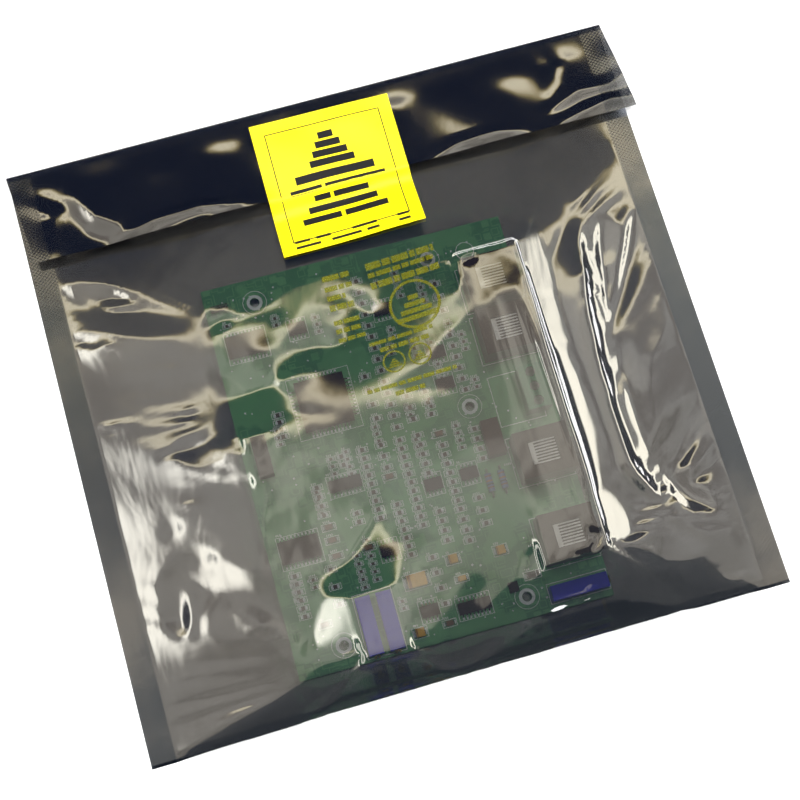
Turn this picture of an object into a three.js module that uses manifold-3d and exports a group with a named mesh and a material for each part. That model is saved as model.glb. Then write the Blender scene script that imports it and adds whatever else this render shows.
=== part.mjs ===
// A static shielding bag lying flat, its open top folded over and held by a label, with a
// circuit board inside. Millimetres, +Z up. X runs across the bag from its middle, and Y runs
// up the bag from its bottom fold. The back of the bag lies on Z = 0.
import * as THREE from "three";
import { mergeVertices } from "three/addons/utils/BufferGeometryUtils.js";
import Module from "manifold-3d";

const wasm = await Module();
wasm.setup();

// Bag
const filmThickness = 0.08;
const bagWidth = 219;
const bagLength = 210.6;
const sealWidth = 8.3;
const flapLength = 34.6;
const flapShift = 3.4;
const foldRadius = 2.1;
const emptyGap = 0.4;
const bottomFold = 0.5;
const restGap = 0.5;
const filmClearance = 0.5;
const bodyCell = 5.4;
const drapeCell = 2.7;
const drapePasses = 900;
const flapLift = 0.5;
const arcSteps = 4;
const flapSteps = 5;

// Label
const labelSide = 50.8;
const labelThickness = 0.12;
const labelGap = 0.3;
const labelX = 2.3;
const labelBelowTop = 31.3;
const labelTurn = -0.66;
const labelSteps = 8;

// Board
const boardWidth = 107.2;
const boardLength = 137.3;
const boardThickness = 1.6;
const boardTurn = -0.74;
const boardCornerX = -56.3;
const boardCornerY = 13.5;
const tailLength = 1.4;
const tailSide = 0.6;
const tailRise = 0.4;
const holeDiameter = 3.2;
const holeSides = 20;
const solderSink = 0.1;

// Jacks
const jackDepth = 18.5;
const jackWidth = 16;
const jackHeight = 11.5;
const jackEdgeGap = 0.6;
const portDepth = 8;
const portWidth = 11.8;
const portHeight = 7;
const portFloor = 1.6;
const slotLength = 9.6;
const slotDepth = 1.8;
const slotInset = 4.2;
const contactCount = 8;
const contactPitch = 1.02;
const contactWidth = 0.45;
const contactThickness = 0.4;
const contactBar = 1.6;
const contactClearance = 0.3;

// Terminal block
const terminalWays = 3;
const terminalPitch = 5.08;
const terminalDepth = 8.2;
const terminalHeight = 8.6;
const terminalScrewDiameter = 3;
const terminalScrewHeight = 1;
const terminalClearance = 0.2;
const terminalEdgeGap = 2.4;

// Trimmers
const trimmerLength = 19.3;
const trimmerWidth = 5;
const trimmerHeight = 6.4;
const trimmerEdgeGap = 1.4;
const trimmerScrewDiameter = 2.2;
const trimmerScrewLength = 1.2;
const trimmerScrewSeat = 0.3;

// Chips and small parts
const leadWidth = 0.42;
const leadThickness = 0.2;
const chipPitch = 1.27;
const chipStandoff = 0.15;
const leadReach = 1.1;
const leadHeight = 1.1;
const narrowChip = { across: 3.9, height: 1.6 };
const wideChip = { across: 7.5, height: 2.4 };
const mainChipSide = 17;
const mainChipHeight = 3.4;
const mainChipLeads = 11;
const mainLeadReach = 1.6;
const resistorDiameter = 2.3;
const resistorLength = 6.3;
const resistorWire = 0.6;
const resistorSpan = 10;
const resistorStandoff = 0.4;
const passiveLength = 2;
const passiveWidth = 1.25;
const passiveHeight = 0.6;

const radians = THREE.MathUtils.degToRad;

function material(color, roughness, metalness, opacity = 1) {
  return new THREE.MeshStandardMaterial({ color, roughness, metalness, opacity, transparent: opacity < 1 });
}

const filmFinish = material(0x8a8880, 0.16, 0.85, 0.45);
const labelFinish = material(0xf6ec1c, 0.5, 0);
const boardFinish = material(0x2c7a44, 0.45, 0);
const jackFinish = material(0x2a1f1b, 0.4, 0);
const brassFinish = material(0xc9a45a, 0.3, 1);
const steelFinish = material(0xb9bcc0, 0.3, 1);
const terminalFinish = material(0x3fa565, 0.45, 0);
const trimmerFinish = material(0x2f35b0, 0.4, 0);
const chipFinish = material(0x4a3430, 0.55, 0);
const tantalumFinish = material(0xd69a35, 0.5, 0);
const resistorFinish = material(0x7f93b4, 0.4, 0);
const capacitorFinish = material(0x9a7a62, 0.5, 0);

// Joins and cuts of closed geometries.
function solid(geometry) {
  const bare = geometry.index ? geometry.clone() : mergeVertices(geometry);
  for (const name of Object.keys(bare.attributes)) if (name !== "position") bare.deleteAttribute(name);
  const merged = mergeVertices(bare, 1e-4);
  const vertProperties = Float32Array.from(merged.attributes.position.array);
  const triVerts = Uint32Array.from(merged.index.array);
  return new wasm.Manifold(new wasm.Mesh({ numProp: 3, vertProperties, triVerts }));
}

function geometryOf(shape) {
  const mesh = shape.getMesh();
  const geometry = new THREE.BufferGeometry();
  geometry.setAttribute("position", new THREE.BufferAttribute(Float32Array.from(mesh.vertProperties), 3));
  geometry.setIndex(new THREE.BufferAttribute(Uint32Array.from(mesh.triVerts), 1));
  return geometry;
}

function join(parts) {
  return parts.reduce((whole, part) => whole.add(part));
}

// A box given by its middle in X and Y and its underside in Z.
function block(width, length, height, x = 0, y = 0, z = 0) {
  return solid(new THREE.BoxGeometry(width, length, height).translate(x, y, z + height / 2));
}

function disc(diameter, height, sides, x = 0, y = 0, z = 0) {
  const round = new THREE.CylinderGeometry(diameter / 2, diameter / 2, height, sides).rotateX(Math.PI / 2);
  return solid(round.translate(x, y, z + height / 2));
}

const part = new THREE.Group();
const contents = new THREE.Group();
contents.position.set(boardCornerX, boardCornerY, 0);
contents.rotation.z = radians(boardTurn);
part.add(contents);

const boardUnderside = filmThickness + tailRise + tailLength;
const boardTop = boardUnderside + boardThickness;

// Places on the board are in hundredths of its width and length from its lower left corner.
function onBoard(across, up) {
  return [(across / 100) * boardWidth, (up / 100) * boardLength];
}

// Each piece inside the bag reserves the box that the film has to clear.
const supports = [];

function reserve(mesh) {
  part.updateMatrixWorld(true);
  const { min, max } = new THREE.Box3().setFromObject(mesh, true);
  supports.push({ name: mesh.name, x0: min.x, x1: max.x, y0: min.y, y1: max.y, top: max.z });
}

// The box round all the pieces whose names start with one of the given words, with the film's clearance.
function reachOf(...words) {
  const found = supports.filter(({ name }) => words.some((word) => name.startsWith(word)));
  return {
    x0: Math.min(...found.map(({ x0 }) => x0)) - filmClearance,
    x1: Math.max(...found.map(({ x1 }) => x1)) + filmClearance,
    y0: Math.min(...found.map(({ y0 }) => y0)) - filmClearance,
    y1: Math.max(...found.map(({ y1 }) => y1)) + filmClearance,
  };
}

function add(name, shape, finish, x = 0, y = 0, z = 0, turn = 0) {
  const mesh = new THREE.Mesh(geometryOf(shape), finish);
  mesh.name = name;
  mesh.position.set(x, y, z);
  mesh.rotation.z = radians(turn);
  contents.add(mesh);
  reserve(mesh);
  return mesh;
}

// Jacks, along the right edge. They open towards the board's edge, with their wires in a slot on top.
const jackPlaces = [
  ["a", 83.0],
  ["b", 69.3],
  ["c", 37.1],
  ["d", 16.4],
];
const jackX = boardWidth - jackEdgeGap - jackDepth / 2;
const slotX = -jackDepth / 2 + slotInset + slotLength / 2;

function jackHousing() {
  const shell = block(jackDepth, jackWidth, jackHeight);
  const port = block(portDepth * 2, portWidth, portHeight, jackDepth / 2, 0, portFloor);
  const slotWidth = contactCount * contactPitch;
  const slot = block(slotLength, slotWidth, slotDepth * 2, slotX, 0, jackHeight - slotDepth);
  return shell.subtract(port).subtract(slot);
}

function jackContacts() {
  const length = slotLength - 2 * contactClearance;
  const span = (contactCount - 1) * contactPitch + contactWidth;
  const barX = -length / 2 + contactBar / 2;
  const pieces = [block(contactBar, span, contactThickness, barX)];
  for (let i = 0; i < contactCount; i++) {
    const y = (i - (contactCount - 1) / 2) * contactPitch;
    pieces.push(block(length, contactWidth, contactThickness * 1.5, 0, y));
  }
  return join(pieces);
}

for (const [letter, up] of jackPlaces) {
  const y = onBoard(0, up)[1];
  add("jack_housing_" + letter, jackHousing(), jackFinish, jackX, y, boardTop);
  const contactZ = boardTop + jackHeight - slotDepth + contactClearance;
  add("jack_contacts_" + letter, jackContacts(), brassFinish, jackX + slotX, y, contactZ);
}

// Terminal block between the jacks, with one screw a way set in a well.
const terminalX = boardWidth - terminalEdgeGap - terminalDepth / 2;
const terminalY = onBoard(0, 53.5)[1];

function terminalWay(i) {
  return (i - (terminalWays - 1) / 2) * terminalPitch;
}

function terminalBlock() {
  let shape = block(terminalDepth, terminalWays * terminalPitch, terminalHeight);
  const wellDepth = terminalScrewHeight + 2 * terminalClearance;
  for (let i = 0; i < terminalWays; i++) {
    const diameter = terminalScrewDiameter + 2 * terminalClearance;
    shape = shape.subtract(disc(diameter, wellDepth * 2, 16, 0, terminalWay(i), terminalHeight - wellDepth));
    const mouth = block(terminalDepth / 2, terminalPitch * 0.6, terminalHeight * 0.4);
    shape = shape.subtract(mouth.translate([terminalDepth / 2, terminalWay(i), 1]));
  }
  return shape;
}

add("terminal_block", terminalBlock(), terminalFinish, terminalX, terminalY, boardTop);
for (let i = 0; i < terminalWays; i++) {
  const slot = block(terminalScrewDiameter * 1.2, 0.5, terminalScrewHeight, 0, 0, terminalScrewHeight / 2);
  const screw = disc(terminalScrewDiameter, terminalScrewHeight, 16).subtract(slot);
  const z = boardTop + terminalHeight - terminalScrewHeight - terminalClearance;
  add("terminal_screw_" + (i + 1), screw, steelFinish, terminalX, terminalY + terminalWay(i), z);
}

// Trimmers: a long flat body with a slotted screw in one end.
const trimmerMiddle = trimmerEdgeGap + trimmerLength / 2;
const trimmers = [
  ["a", onBoard(24.6, 0)[0], trimmerMiddle, -90],
  ["b", onBoard(31.2, 0)[0], trimmerMiddle, -90],
  ["c", boardWidth - trimmerMiddle, onBoard(0, 3.8)[1], 0],
];

function trimmerBody() {
  const body = block(trimmerLength, trimmerWidth, trimmerHeight);
  const seat = disc(trimmerScrewDiameter + 2 * trimmerScrewSeat, trimmerScrewSeat * 2, 16).rotate([0, 90, 0]);
  return body.subtract(seat.translate([trimmerLength / 2 - trimmerScrewSeat, 0, trimmerHeight / 2]));
}

function trimmerScrew() {
  const slot = block(trimmerScrewDiameter * 1.2, 0.4, 0.8, 0, 0, trimmerScrewLength - 0.4);
  return disc(trimmerScrewDiameter, trimmerScrewLength, 16).subtract(slot).rotate([0, 90, 0]);
}

for (const [letter, x, y, turn] of trimmers) {
  add("trimmer_body_" + letter, trimmerBody(), trimmerFinish, x, y, boardTop, turn);
  const reach = trimmerLength / 2 - trimmerScrewSeat / 2;
  const screwX = x + reach * Math.cos(radians(turn));
  const screwY = y + reach * Math.sin(radians(turn));
  const screwZ = boardTop + trimmerHeight / 2;
  add("trimmer_screw_" + letter, trimmerScrew(), brassFinish, screwX, screwY, screwZ, turn);
}

// A row of leads along one side of a chip, sloping from the body's side down to the board.
function leadRow(count, bodyEdge, reach) {
  const pieces = [];
  const outline = new THREE.Shape();
  const inner = bodyEdge - leadThickness;
  outline.moveTo(inner, leadHeight);
  outline.lineTo(inner, leadHeight - 2 * leadThickness);
  outline.lineTo(bodyEdge + reach - leadThickness, 0);
  outline.lineTo(bodyEdge + reach, 0);
  outline.closePath();
  for (let i = 0; i < count; i++) {
    const lead = new THREE.ExtrudeGeometry(outline, { depth: leadWidth, bevelEnabled: false });
    lead.translate(0, 0, -leadWidth / 2).rotateX(Math.PI / 2);
    lead.translate(0, (i - (count - 1) / 2) * chipPitch, 0);
    pieces.push(solid(lead));
  }
  return pieces;
}

// A two-sided chip whose rows of leads face up and down the board.
function twoRowChip(leads, form) {
  const length = (leads / 2 - 1) * chipPitch + 2.2;
  const pieces = [block(length, form.across, form.height, 0, 0, chipStandoff)];
  for (const turn of [90, -90]) {
    for (const lead of leadRow(leads / 2, form.across / 2, leadReach)) pieces.push(lead.rotate([0, 0, turn]));
  }
  return join(pieces);
}

function fourSidedChip() {
  const pieces = [block(mainChipSide, mainChipSide, mainChipHeight, 0, 0, chipStandoff)];
  for (const turn of [0, 90, 180, 270]) {
    for (const lead of leadRow(mainChipLeads, mainChipSide / 2, mainLeadReach)) {
      pieces.push(lead.rotate([0, 0, turn]));
    }
  }
  return join(pieces);
}

add("main_chip", fourSidedChip(), chipFinish, ...onBoard(29.2, 64.1), boardTop);

const chips = [
  ["wide_chip_upper", 20, wideChip, 10.3, 83.5],
  ["wide_chip_lower", 20, wideChip, 10.2, 30.4],
  ["logic_chip_1", 16, narrowChip, 28.9, 43.1],
  ["logic_chip_2", 16, narrowChip, 57.4, 6.3],
  ["amplifier_1", 8, narrowChip, 27.1, 84.3],
  ["amplifier_2", 8, narrowChip, 55.0, 83.6],
  ["amplifier_3", 8, narrowChip, 67.9, 69.3],
  ["amplifier_4", 8, narrowChip, 67.9, 61.0],
  ["amplifier_5", 8, narrowChip, 55.5, 37.4],
  ["amplifier_6", 8, narrowChip, 67.2, 37.7],
  ["amplifier_7", 8, narrowChip, 36.8, 24.7],
  ["amplifier_8", 8, narrowChip, 43.8, 8.0],
];
for (const [name, leads, form, across, up] of chips) {
  add(name, twoRowChip(leads, form), chipFinish, ...onBoard(across, up), boardTop);
}

// Plain block-shaped parts: name, width, length, height, place and finish.
const blocks = [
  ["edge_header", 5, 14, 4.6, 6.1, 54.6, chipFinish],
  ["relay", 6, 12.5, 5, 77.4, 44.4, chipFinish],
  ["diode", 4.2, 1.9, 1.6, 77.4, 9.8, chipFinish],
  ["transistor", 3.2, 3.4, 1.8, 70.6, 8.1, chipFinish],
  ["crystal", 6.2, 2.6, 1.9, 4.6, 94.2, steelFinish],
  ["tantalum_1", 7.3, 4.3, 2.8, 42.4, 15.8, tantalumFinish],
  ["tantalum_2", 3.5, 2.8, 1.9, 55.0, 18.5, tantalumFinish],
  ["tantalum_3", 3.2, 1.6, 1.6, 56.0, 13.4, tantalumFinish],
  ["tantalum_4", 3.5, 2.8, 1.9, 70.0, 17.6, tantalumFinish],
  ["tantalum_5", 3.5, 2.8, 1.9, 39.2, 3.6, tantalumFinish],
  ["chip_capacitor_1", 3.2, 1.6, 1.2, 42.9, 42.1, capacitorFinish],
  ["chip_capacitor_2", 3.2, 1.6, 1.2, 61.6, 49.2, capacitorFinish],
  ["chip_capacitor_3", 3.2, 1.6, 1.2, 20.5, 33.9, capacitorFinish],
  ["chip_capacitor_4", 3.2, 1.6, 1.2, 20.5, 30.6, capacitorFinish],
  ["chip_capacitor_5", 3.2, 1.6, 1.2, 20.5, 26.6, capacitorFinish],
  ["chip_capacitor_6", 3.2, 1.6, 1.2, 30.8, 26.6, capacitorFinish],
  ["chip_capacitor_7", 3.2, 1.6, 1.2, 48.7, 3.9, capacitorFinish],
  ["chip_capacitor_8", 3.2, 1.6, 1.2, 11.7, 11.4, capacitorFinish],
];
for (const [name, width, length, height, across, up, finish] of blocks) {
  add(name, block(width, length, height), finish, ...onBoard(across, up), boardTop);
}

// Axial resistors: a round body on two bent wires that stand on the board.
function axialResistor() {
  const body = disc(resistorDiameter, resistorLength, 12, 0, 0, -resistorLength / 2).rotate([90, 0, 0]);
  const middle = resistorStandoff + resistorDiameter / 2;
  const pieces = [body.translate([0, 0, middle])];
  pieces.push(block(resistorWire, resistorSpan, resistorWire, 0, 0, middle - resistorWire / 2));
  for (const side of [-1, 1]) {
    const y = (side * (resistorSpan - resistorWire)) / 2;
    pieces.push(block(resistorWire, resistorWire, middle, 0, y));
  }
  return join(pieces);
}

add("axial_resistor_1", axialResistor(), resistorFinish, ...onBoard(72.6, 34.0), boardTop);
add("axial_resistor_2", axialResistor(), resistorFinish, ...onBoard(76.9, 34.0), boardTop);

// The board: a plate with plated holes, the passives soldered to it in columns, and the tails
// of the through-hole parts below.
const mountingHoles = [
  [15.7, 5.5],
  [73.9, 5.1],
  [73.5, 53.9],
  [16.1, 93.8],
  [73.7, 93.5],
];

// Columns of passives: across, lowest, highest and count.
const passiveColumns = [
  [6.5, 14.5, 24.5, 6],
  [17.7, 15.2, 23.7, 3],
  [20.0, 37.0, 44.0, 4],
  [30.0, 33.2, 35.4, 2],
  [30.0, 47.8, 50.0, 2],
  [36.8, 32.8, 50.2, 9],
  [42.9, 22.2, 34.9, 7],
  [42.9, 44.4, 50.2, 3],
  [49.0, 28.4, 50.2, 11],
  [49.0, 8.7, 20.2, 4],
  [55.0, 23.3, 30.6, 4],
  [55.0, 40.4, 50.2, 5],
  [61.6, 21.8, 29.8, 4],
  [61.6, 32.0, 46.2, 7],
  [68.1, 24.8, 31.3, 3],
  [72.8, 40.4, 48.1, 4],
  [49.4, 53.5, 92.5, 14],
  [55.0, 54.5, 60.5, 3],
  [61.0, 54.5, 60.5, 3],
  [73.7, 58.3, 72.8, 6],
  [73.7, 79.5, 86.7, 3],
  [14.0, 58.5, 64.1, 4],
  [43.9, 57.0, 68.0, 4],
];
const tailRows = [
  ...jackPlaces.map(([, up]) => [88, up, contactCount, contactPitch * 1.3]),
  [94, 53.5, terminalWays, terminalPitch],
  [24.6, 8.3, 3, 7],
  [31.2, 8.3, 3, 7],
];

function board() {
  const plate = block(boardWidth, boardLength, boardThickness, boardWidth / 2, boardLength / 2);
  const soldered = [];
  for (const [across, low, high, count] of passiveColumns) {
    for (let i = 0; i < count; i++) {
      const [x, y] = onBoard(across, low + ((high - low) * i) / (count - 1));
      const z = boardThickness - solderSink;
      soldered.push(block(passiveLength, passiveWidth, passiveHeight + solderSink, x, y, z));
    }
  }
  for (const [across, up, count, pitch] of tailRows) {
    const [x, y] = onBoard(across, up);
    for (let i = 0; i < count; i++) {
      const tailY = y + (i - (count - 1) / 2) * pitch;
      soldered.push(block(tailSide, tailSide, tailLength + solderSink, x, tailY, -tailLength));
    }
  }
  let shape = wasm.Manifold.union([plate, ...soldered]);
  for (const [across, up] of mountingHoles) {
    const [x, y] = onBoard(across, up);
    shape = shape.subtract(disc(holeDiameter, boardThickness * 3, holeSides, x, y, -boardThickness));
  }
  return shape;
}

add("circuit_board", board(), boardFinish, 0, 0, boardUnderside);

// The bag. The film over the contents is the highest of the tents that stand on the pieces
// inside, each falling away to nothing at the seals, the bottom fold and below the top fold.
const halfWidth = bagWidth / 2;
const sealX = halfWidth - sealWidth;
const foldY = bagLength - foldRadius;
const flapEdgeY = bagLength - flapLength;
const boardReach = reachOf("circuit_board");
const jackReach = { ...reachOf("jack_", "terminal_"), x1: boardReach.x1 };

// Folds that the front film hangs from: points of X in hundredths from the middle to a seal, Y in
// hundredths from the bottom to the flap's edge, and height over the back film.
const folds = [
  // The long blade right of the jacks: its two edges, the hollow between them and the foot beyond.
  [[55, 75, 13.5], [69, 84, 8], [84, 89, 4], [96, 90.5, 1.5]],
  [[96, 90.5, 1.5], [82, 81, 6], [78, 76, 8], [75, 68, 10], [72, 60, 11], [70, 48, 11], [69, 35, 11.5]],
  [[69, 35, 11.5], [69, 29.5, 12], [72, 25.5, 10.5], [80, 18, 6.5], [96, 12, 1.5]],
  [[66, 78, 8], [61, 73, 9.5], [60, 57, 10], [62, 46, 9.6], [65, 36, 9.8], [64, 28, 11], [74, 19, 6]],
  [[74, 19, 6], [90, 9, 1.6]],
  [[96, 86, 0.9], [88, 79, 2], [85, 71, 2.6], [82, 60, 3], [80, 48, 3], [79, 35, 3], [80, 28, 3.2]],
  [[80, 28, 3.2], [87, 21, 2], [97, 15, 0.7]],
  [[50, 27, 15], [60, 16, 10], [75, 8, 5], [96, 1.5, 0.8]],
  // Folds out of the upper left, from one point.
  [[-63, 89, 5.2], [-80, 92.5, 3], [-98, 95.5, 0.8]],
  [[-63, 89, 5.2], [-82, 85.5, 3], [-98, 82, 0.8]],
  [[-98, 89, 0.5], [-80, 89, 1.4]],
  [[-63, 89, 5.2], [-40, 85.5, 5.4], [-14, 82.5, 5.8], [0, 70.5, 6.2]],
  // The left side: a low ridge from the seal down to the corner, with a dent over it.
  [[-92, 44, 0.8], [-80, 28.5, 2.6], [-79, 21.5, 2.8], [-98, 2, 0.5]],
  [[-90, 33, 0.5], [-86, 22, 0.6]],
  [[-57, 44, 5.4], [-60, 29, 5.4], [-58, 16, 5.2]],
  [[-98, 1.5, 0.5], [-74, 5, 4.2], [-50, 9, 6.4], [-33, 10, 10.2]],
  // Over the board: a leaf-shaped rise, and a long slant at the lower left.
  [[-54, 68, 5.3], [-36, 70.5, 6.6], [-14, 66.5, 5.6]],
  [[-54, 62, 5.2], [-30, 64, 5.4]],
  [[-17, 34, 6.6], [-34, 24, 5.9], [-51, 14, 5.6]],
  // A small flame at the bottom.
  [[8, 15, 7.8], [5, 7, 5], [2, 1.5, 0.6]],
];

function clampUnit(value) {
  return Math.min(1, Math.max(0, value));
}

// How high the film has to stay over the piece below it, with one mesh cell to spare around it.
function clearHeight(x, y) {
  let height = 0;
  for (const { name, x0, x1, y0, y1, top } of supports) {
    const limit = name.startsWith("jack_") ? jackReach : boardReach;
    const across = x >= Math.max(x0 - bodyCell, limit.x0) && x <= Math.min(x1 + bodyCell, limit.x1);
    const along = y >= Math.max(y0 - bodyCell, limit.y0) && y <= Math.min(y1 + bodyCell, limit.y1);
    if (across && along) height = Math.max(height, top - filmThickness + filmClearance);
  }
  return height;
}

// The empty bag's gap, which closes towards the seals.
function foldGap(x) {
  return emptyGap * clampUnit((sealX - Math.abs(x)) / bodyCell);
}

// The front film's drape on an even grid: it hangs between its folds, clear of the contents.
const drapeColumns = Math.round((2 * sealX) / drapeCell);
const drapeRows = Math.round(flapEdgeY / drapeCell);

function drapeX(i) {
  return -sealX + (2 * sealX * i) / drapeColumns;
}

function drapeY(j) {
  return (flapEdgeY * j) / drapeRows;
}

function heldByFolds() {
  const held = new Map();
  for (const line of folds) {
    for (let k = 1; k < line.length; k++) {
      for (let n = 0; n <= drapeColumns; n++) {
        const share = n / drapeColumns;
        const between = (axis) => THREE.MathUtils.lerp(line[k - 1][axis], line[k][axis], share);
        const [across, up, height] = [between(0), between(1), between(2)];
        const i = Math.round(((1 + across / 100) / 2) * drapeColumns);
        const j = Math.round((up / 100) * drapeRows);
        held.set(j * (drapeColumns + 1) + i, height);
      }
    }
  }
  return held;
}

function drape() {
  const row = drapeColumns + 1;
  const heights = new Float64Array(row * (drapeRows + 1));
  const least = heights.map((_, at) => clearHeight(drapeX(at % row), drapeY(Math.floor(at / row))));
  for (let i = 0; i < row; i++) heights[drapeRows * row + i] = foldGap(drapeX(i));
  const held = heldByFolds();
  for (const [at, height] of held) heights[at] = Math.max(height, least[at]);
  for (let pass = 0; pass < drapePasses; pass++) {
    for (let j = 1; j < drapeRows; j++) {
      for (let i = 1; i < drapeColumns; i++) {
        const at = j * row + i;
        if (held.has(at)) continue;
        const mean = (heights[at - 1] + heights[at + 1] + heights[at - row] + heights[at + row]) / 4;
        heights[at] = Math.max(mean, least[at]);
      }
    }
  }
  return heights;
}

const drapeHeights = drape();

// The space between the front and the back film.
function pouchHeight(x, y) {
  if (y >= flapEdgeY) return foldGap(x);
  const across = clampUnit((x + sealX) / (2 * sealX)) * drapeColumns;
  const along = clampUnit(y / flapEdgeY) * drapeRows;
  const i = Math.min(Math.floor(across), drapeColumns - 1);
  const j = Math.min(Math.floor(along), drapeRows - 1);
  const at = j * (drapeColumns + 1) + i;
  const next = at + drapeColumns + 1;
  const near = THREE.MathUtils.lerp(drapeHeights[at], drapeHeights[at + 1], across - i);
  const far = THREE.MathUtils.lerp(drapeHeights[next], drapeHeights[next + 1], across - i);
  return Math.max(THREE.MathUtils.lerp(near, far, along - j), clearHeight(x, y), foldGap(x));
}

function frontTop(x, y) {
  if (Math.abs(x) > halfWidth) return 0;
  return 2 * filmThickness + (Math.abs(x) < sealX ? pouchHeight(x, y) : 0);
}

function highest(heightAt, x, y, reachX, reachY) {
  let top = 0;
  for (const dx of [-1, -0.5, 0, 0.5, 1]) {
    for (const dy of [-1, -0.5, 0, 0.5, 1]) top = Math.max(top, heightAt(x + dx * reachX, y + dy * reachY));
  }
  return top;
}

// The flap lies level off its fold, over the front film, and bows up in two places.
const flapBows = [
  { x: -50, half: 30, height: 2.2 },
  { x: 52, half: 18, height: 1.4 },
];

function flapUnderside(x, down) {
  const share = down / flapLength;
  const reach = Math.min(foldY - down, foldY);
  const rest = highest(frontTop, x + flapShift * share, reach, 2 * bodyCell, bodyCell) + restGap;
  const start = 2 * foldRadius - 2 * filmThickness - foldGap(x);
  let bow = 0;
  for (const { x: middle, half, height } of flapBows) {
    bow += height * clampUnit(1 - Math.abs(x - middle) / half) * share ** 2;
  }
  return Math.max(rest, start) + flapLift * share + bow;
}

function flapTop(x, down) {
  return flapUnderside(x, down) + 2 * filmThickness + foldGap(x);
}

// Stations up the film: the body, the turn at the top and the flap.
function spread(from, to, cell) {
  const count = Math.max(1, Math.round((to - from) / cell));
  return Array.from({ length: count }, (_, i) => from + ((to - from) * i) / count);
}

const columns = [
  -halfWidth,
  ...spread(-sealX, boardReach.x0, bodyCell),
  ...spread(boardReach.x0, jackReach.x0, bodyCell),
  ...spread(jackReach.x0, boardReach.x1, bodyCell),
  ...spread(boardReach.x1, sealX, bodyCell),
  sealX,
  halfWidth,
];
const heights = [0, boardReach.y0, jackReach.y0, jackReach.y1, boardReach.y1, flapEdgeY, foldY];
const stations = heights.slice(1).flatMap((to, i) => spread(heights[i], to, bodyCell).map((y) => ({ y })));
const bodyRows = stations.length;
for (let i = 0; i <= arcSteps; i++) stations.push({ angle: (Math.PI * i) / arcSteps });
for (let i = 1; i <= flapSteps; i++) stations.push({ down: (flapLength - foldRadius) * (i / flapSteps) });

// The film's four faces, from the outside of the back film to the outside of the front film.
const layers = ["outer_back", "inner_back", "inner_front", "outer_front"];
const [outerBack, innerBack, innerFront, outerFront] = layers;
const innerLayers = [innerBack, innerFront];
const backLayers = [outerBack, innerBack];

// A layer's depth in from the outside of the back film, across a gap between the two films.
function depthOf(layer, gap) {
  const films = Math.ceil(layers.indexOf(layer) / 2);
  const gaps = layers.indexOf(layer) > 1 ? 1 : 0;
  return (layer === outerFront ? 2 : films) * filmThickness + gaps * gap;
}

function bodyPoint(x, y, layer) {
  const atBottom = y === 0;
  const gap = Math.abs(x) < sealX ? pouchHeight(x, y) : 0;
  if (!atBottom) return [x, y, depthOf(layer, gap)];
  const pinch = bottomFold * clampUnit((sealX - Math.abs(x)) / bodyCell);
  if (innerLayers.includes(layer)) return [x, bottomFold, filmThickness + pinch / 2];
  return [x, 0, depthOf(layer, pinch)];
}

function filmPoint(x, station, layer) {
  if (station.y !== undefined) return bodyPoint(x, station.y, layer);
  const gap = foldGap(x);
  const inward = depthOf(layer, gap);
  if (station.angle !== undefined) {
    const radius = foldRadius - inward;
    return [x, foldY + radius * Math.sin(station.angle), foldRadius - radius * Math.cos(station.angle)];
  }
  const down = station.down;
  const z = flapUnderside(x, down) + 2 * filmThickness + gap - inward;
  return [x + (flapShift * down) / flapLength, foldY - down, z];
}

const inside = (x) => Math.abs(x) <= sealX;
const backColumns = columns.filter((x) => Math.abs(x) >= sealX);
const flapColumns = columns.filter((x, i) => Math.abs(x) >= sealX || i % 2 === 1);

function columnsAt(layer, row) {
  const inner = innerLayers.includes(layer);
  const sharedFold = inner && row === 0;
  let list = columns;
  if (row >= bodyRows) list = flapColumns;
  else if (backLayers.includes(layer) && !sharedFold) list = backColumns;
  return inner ? list.filter(inside) : list;
}

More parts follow.
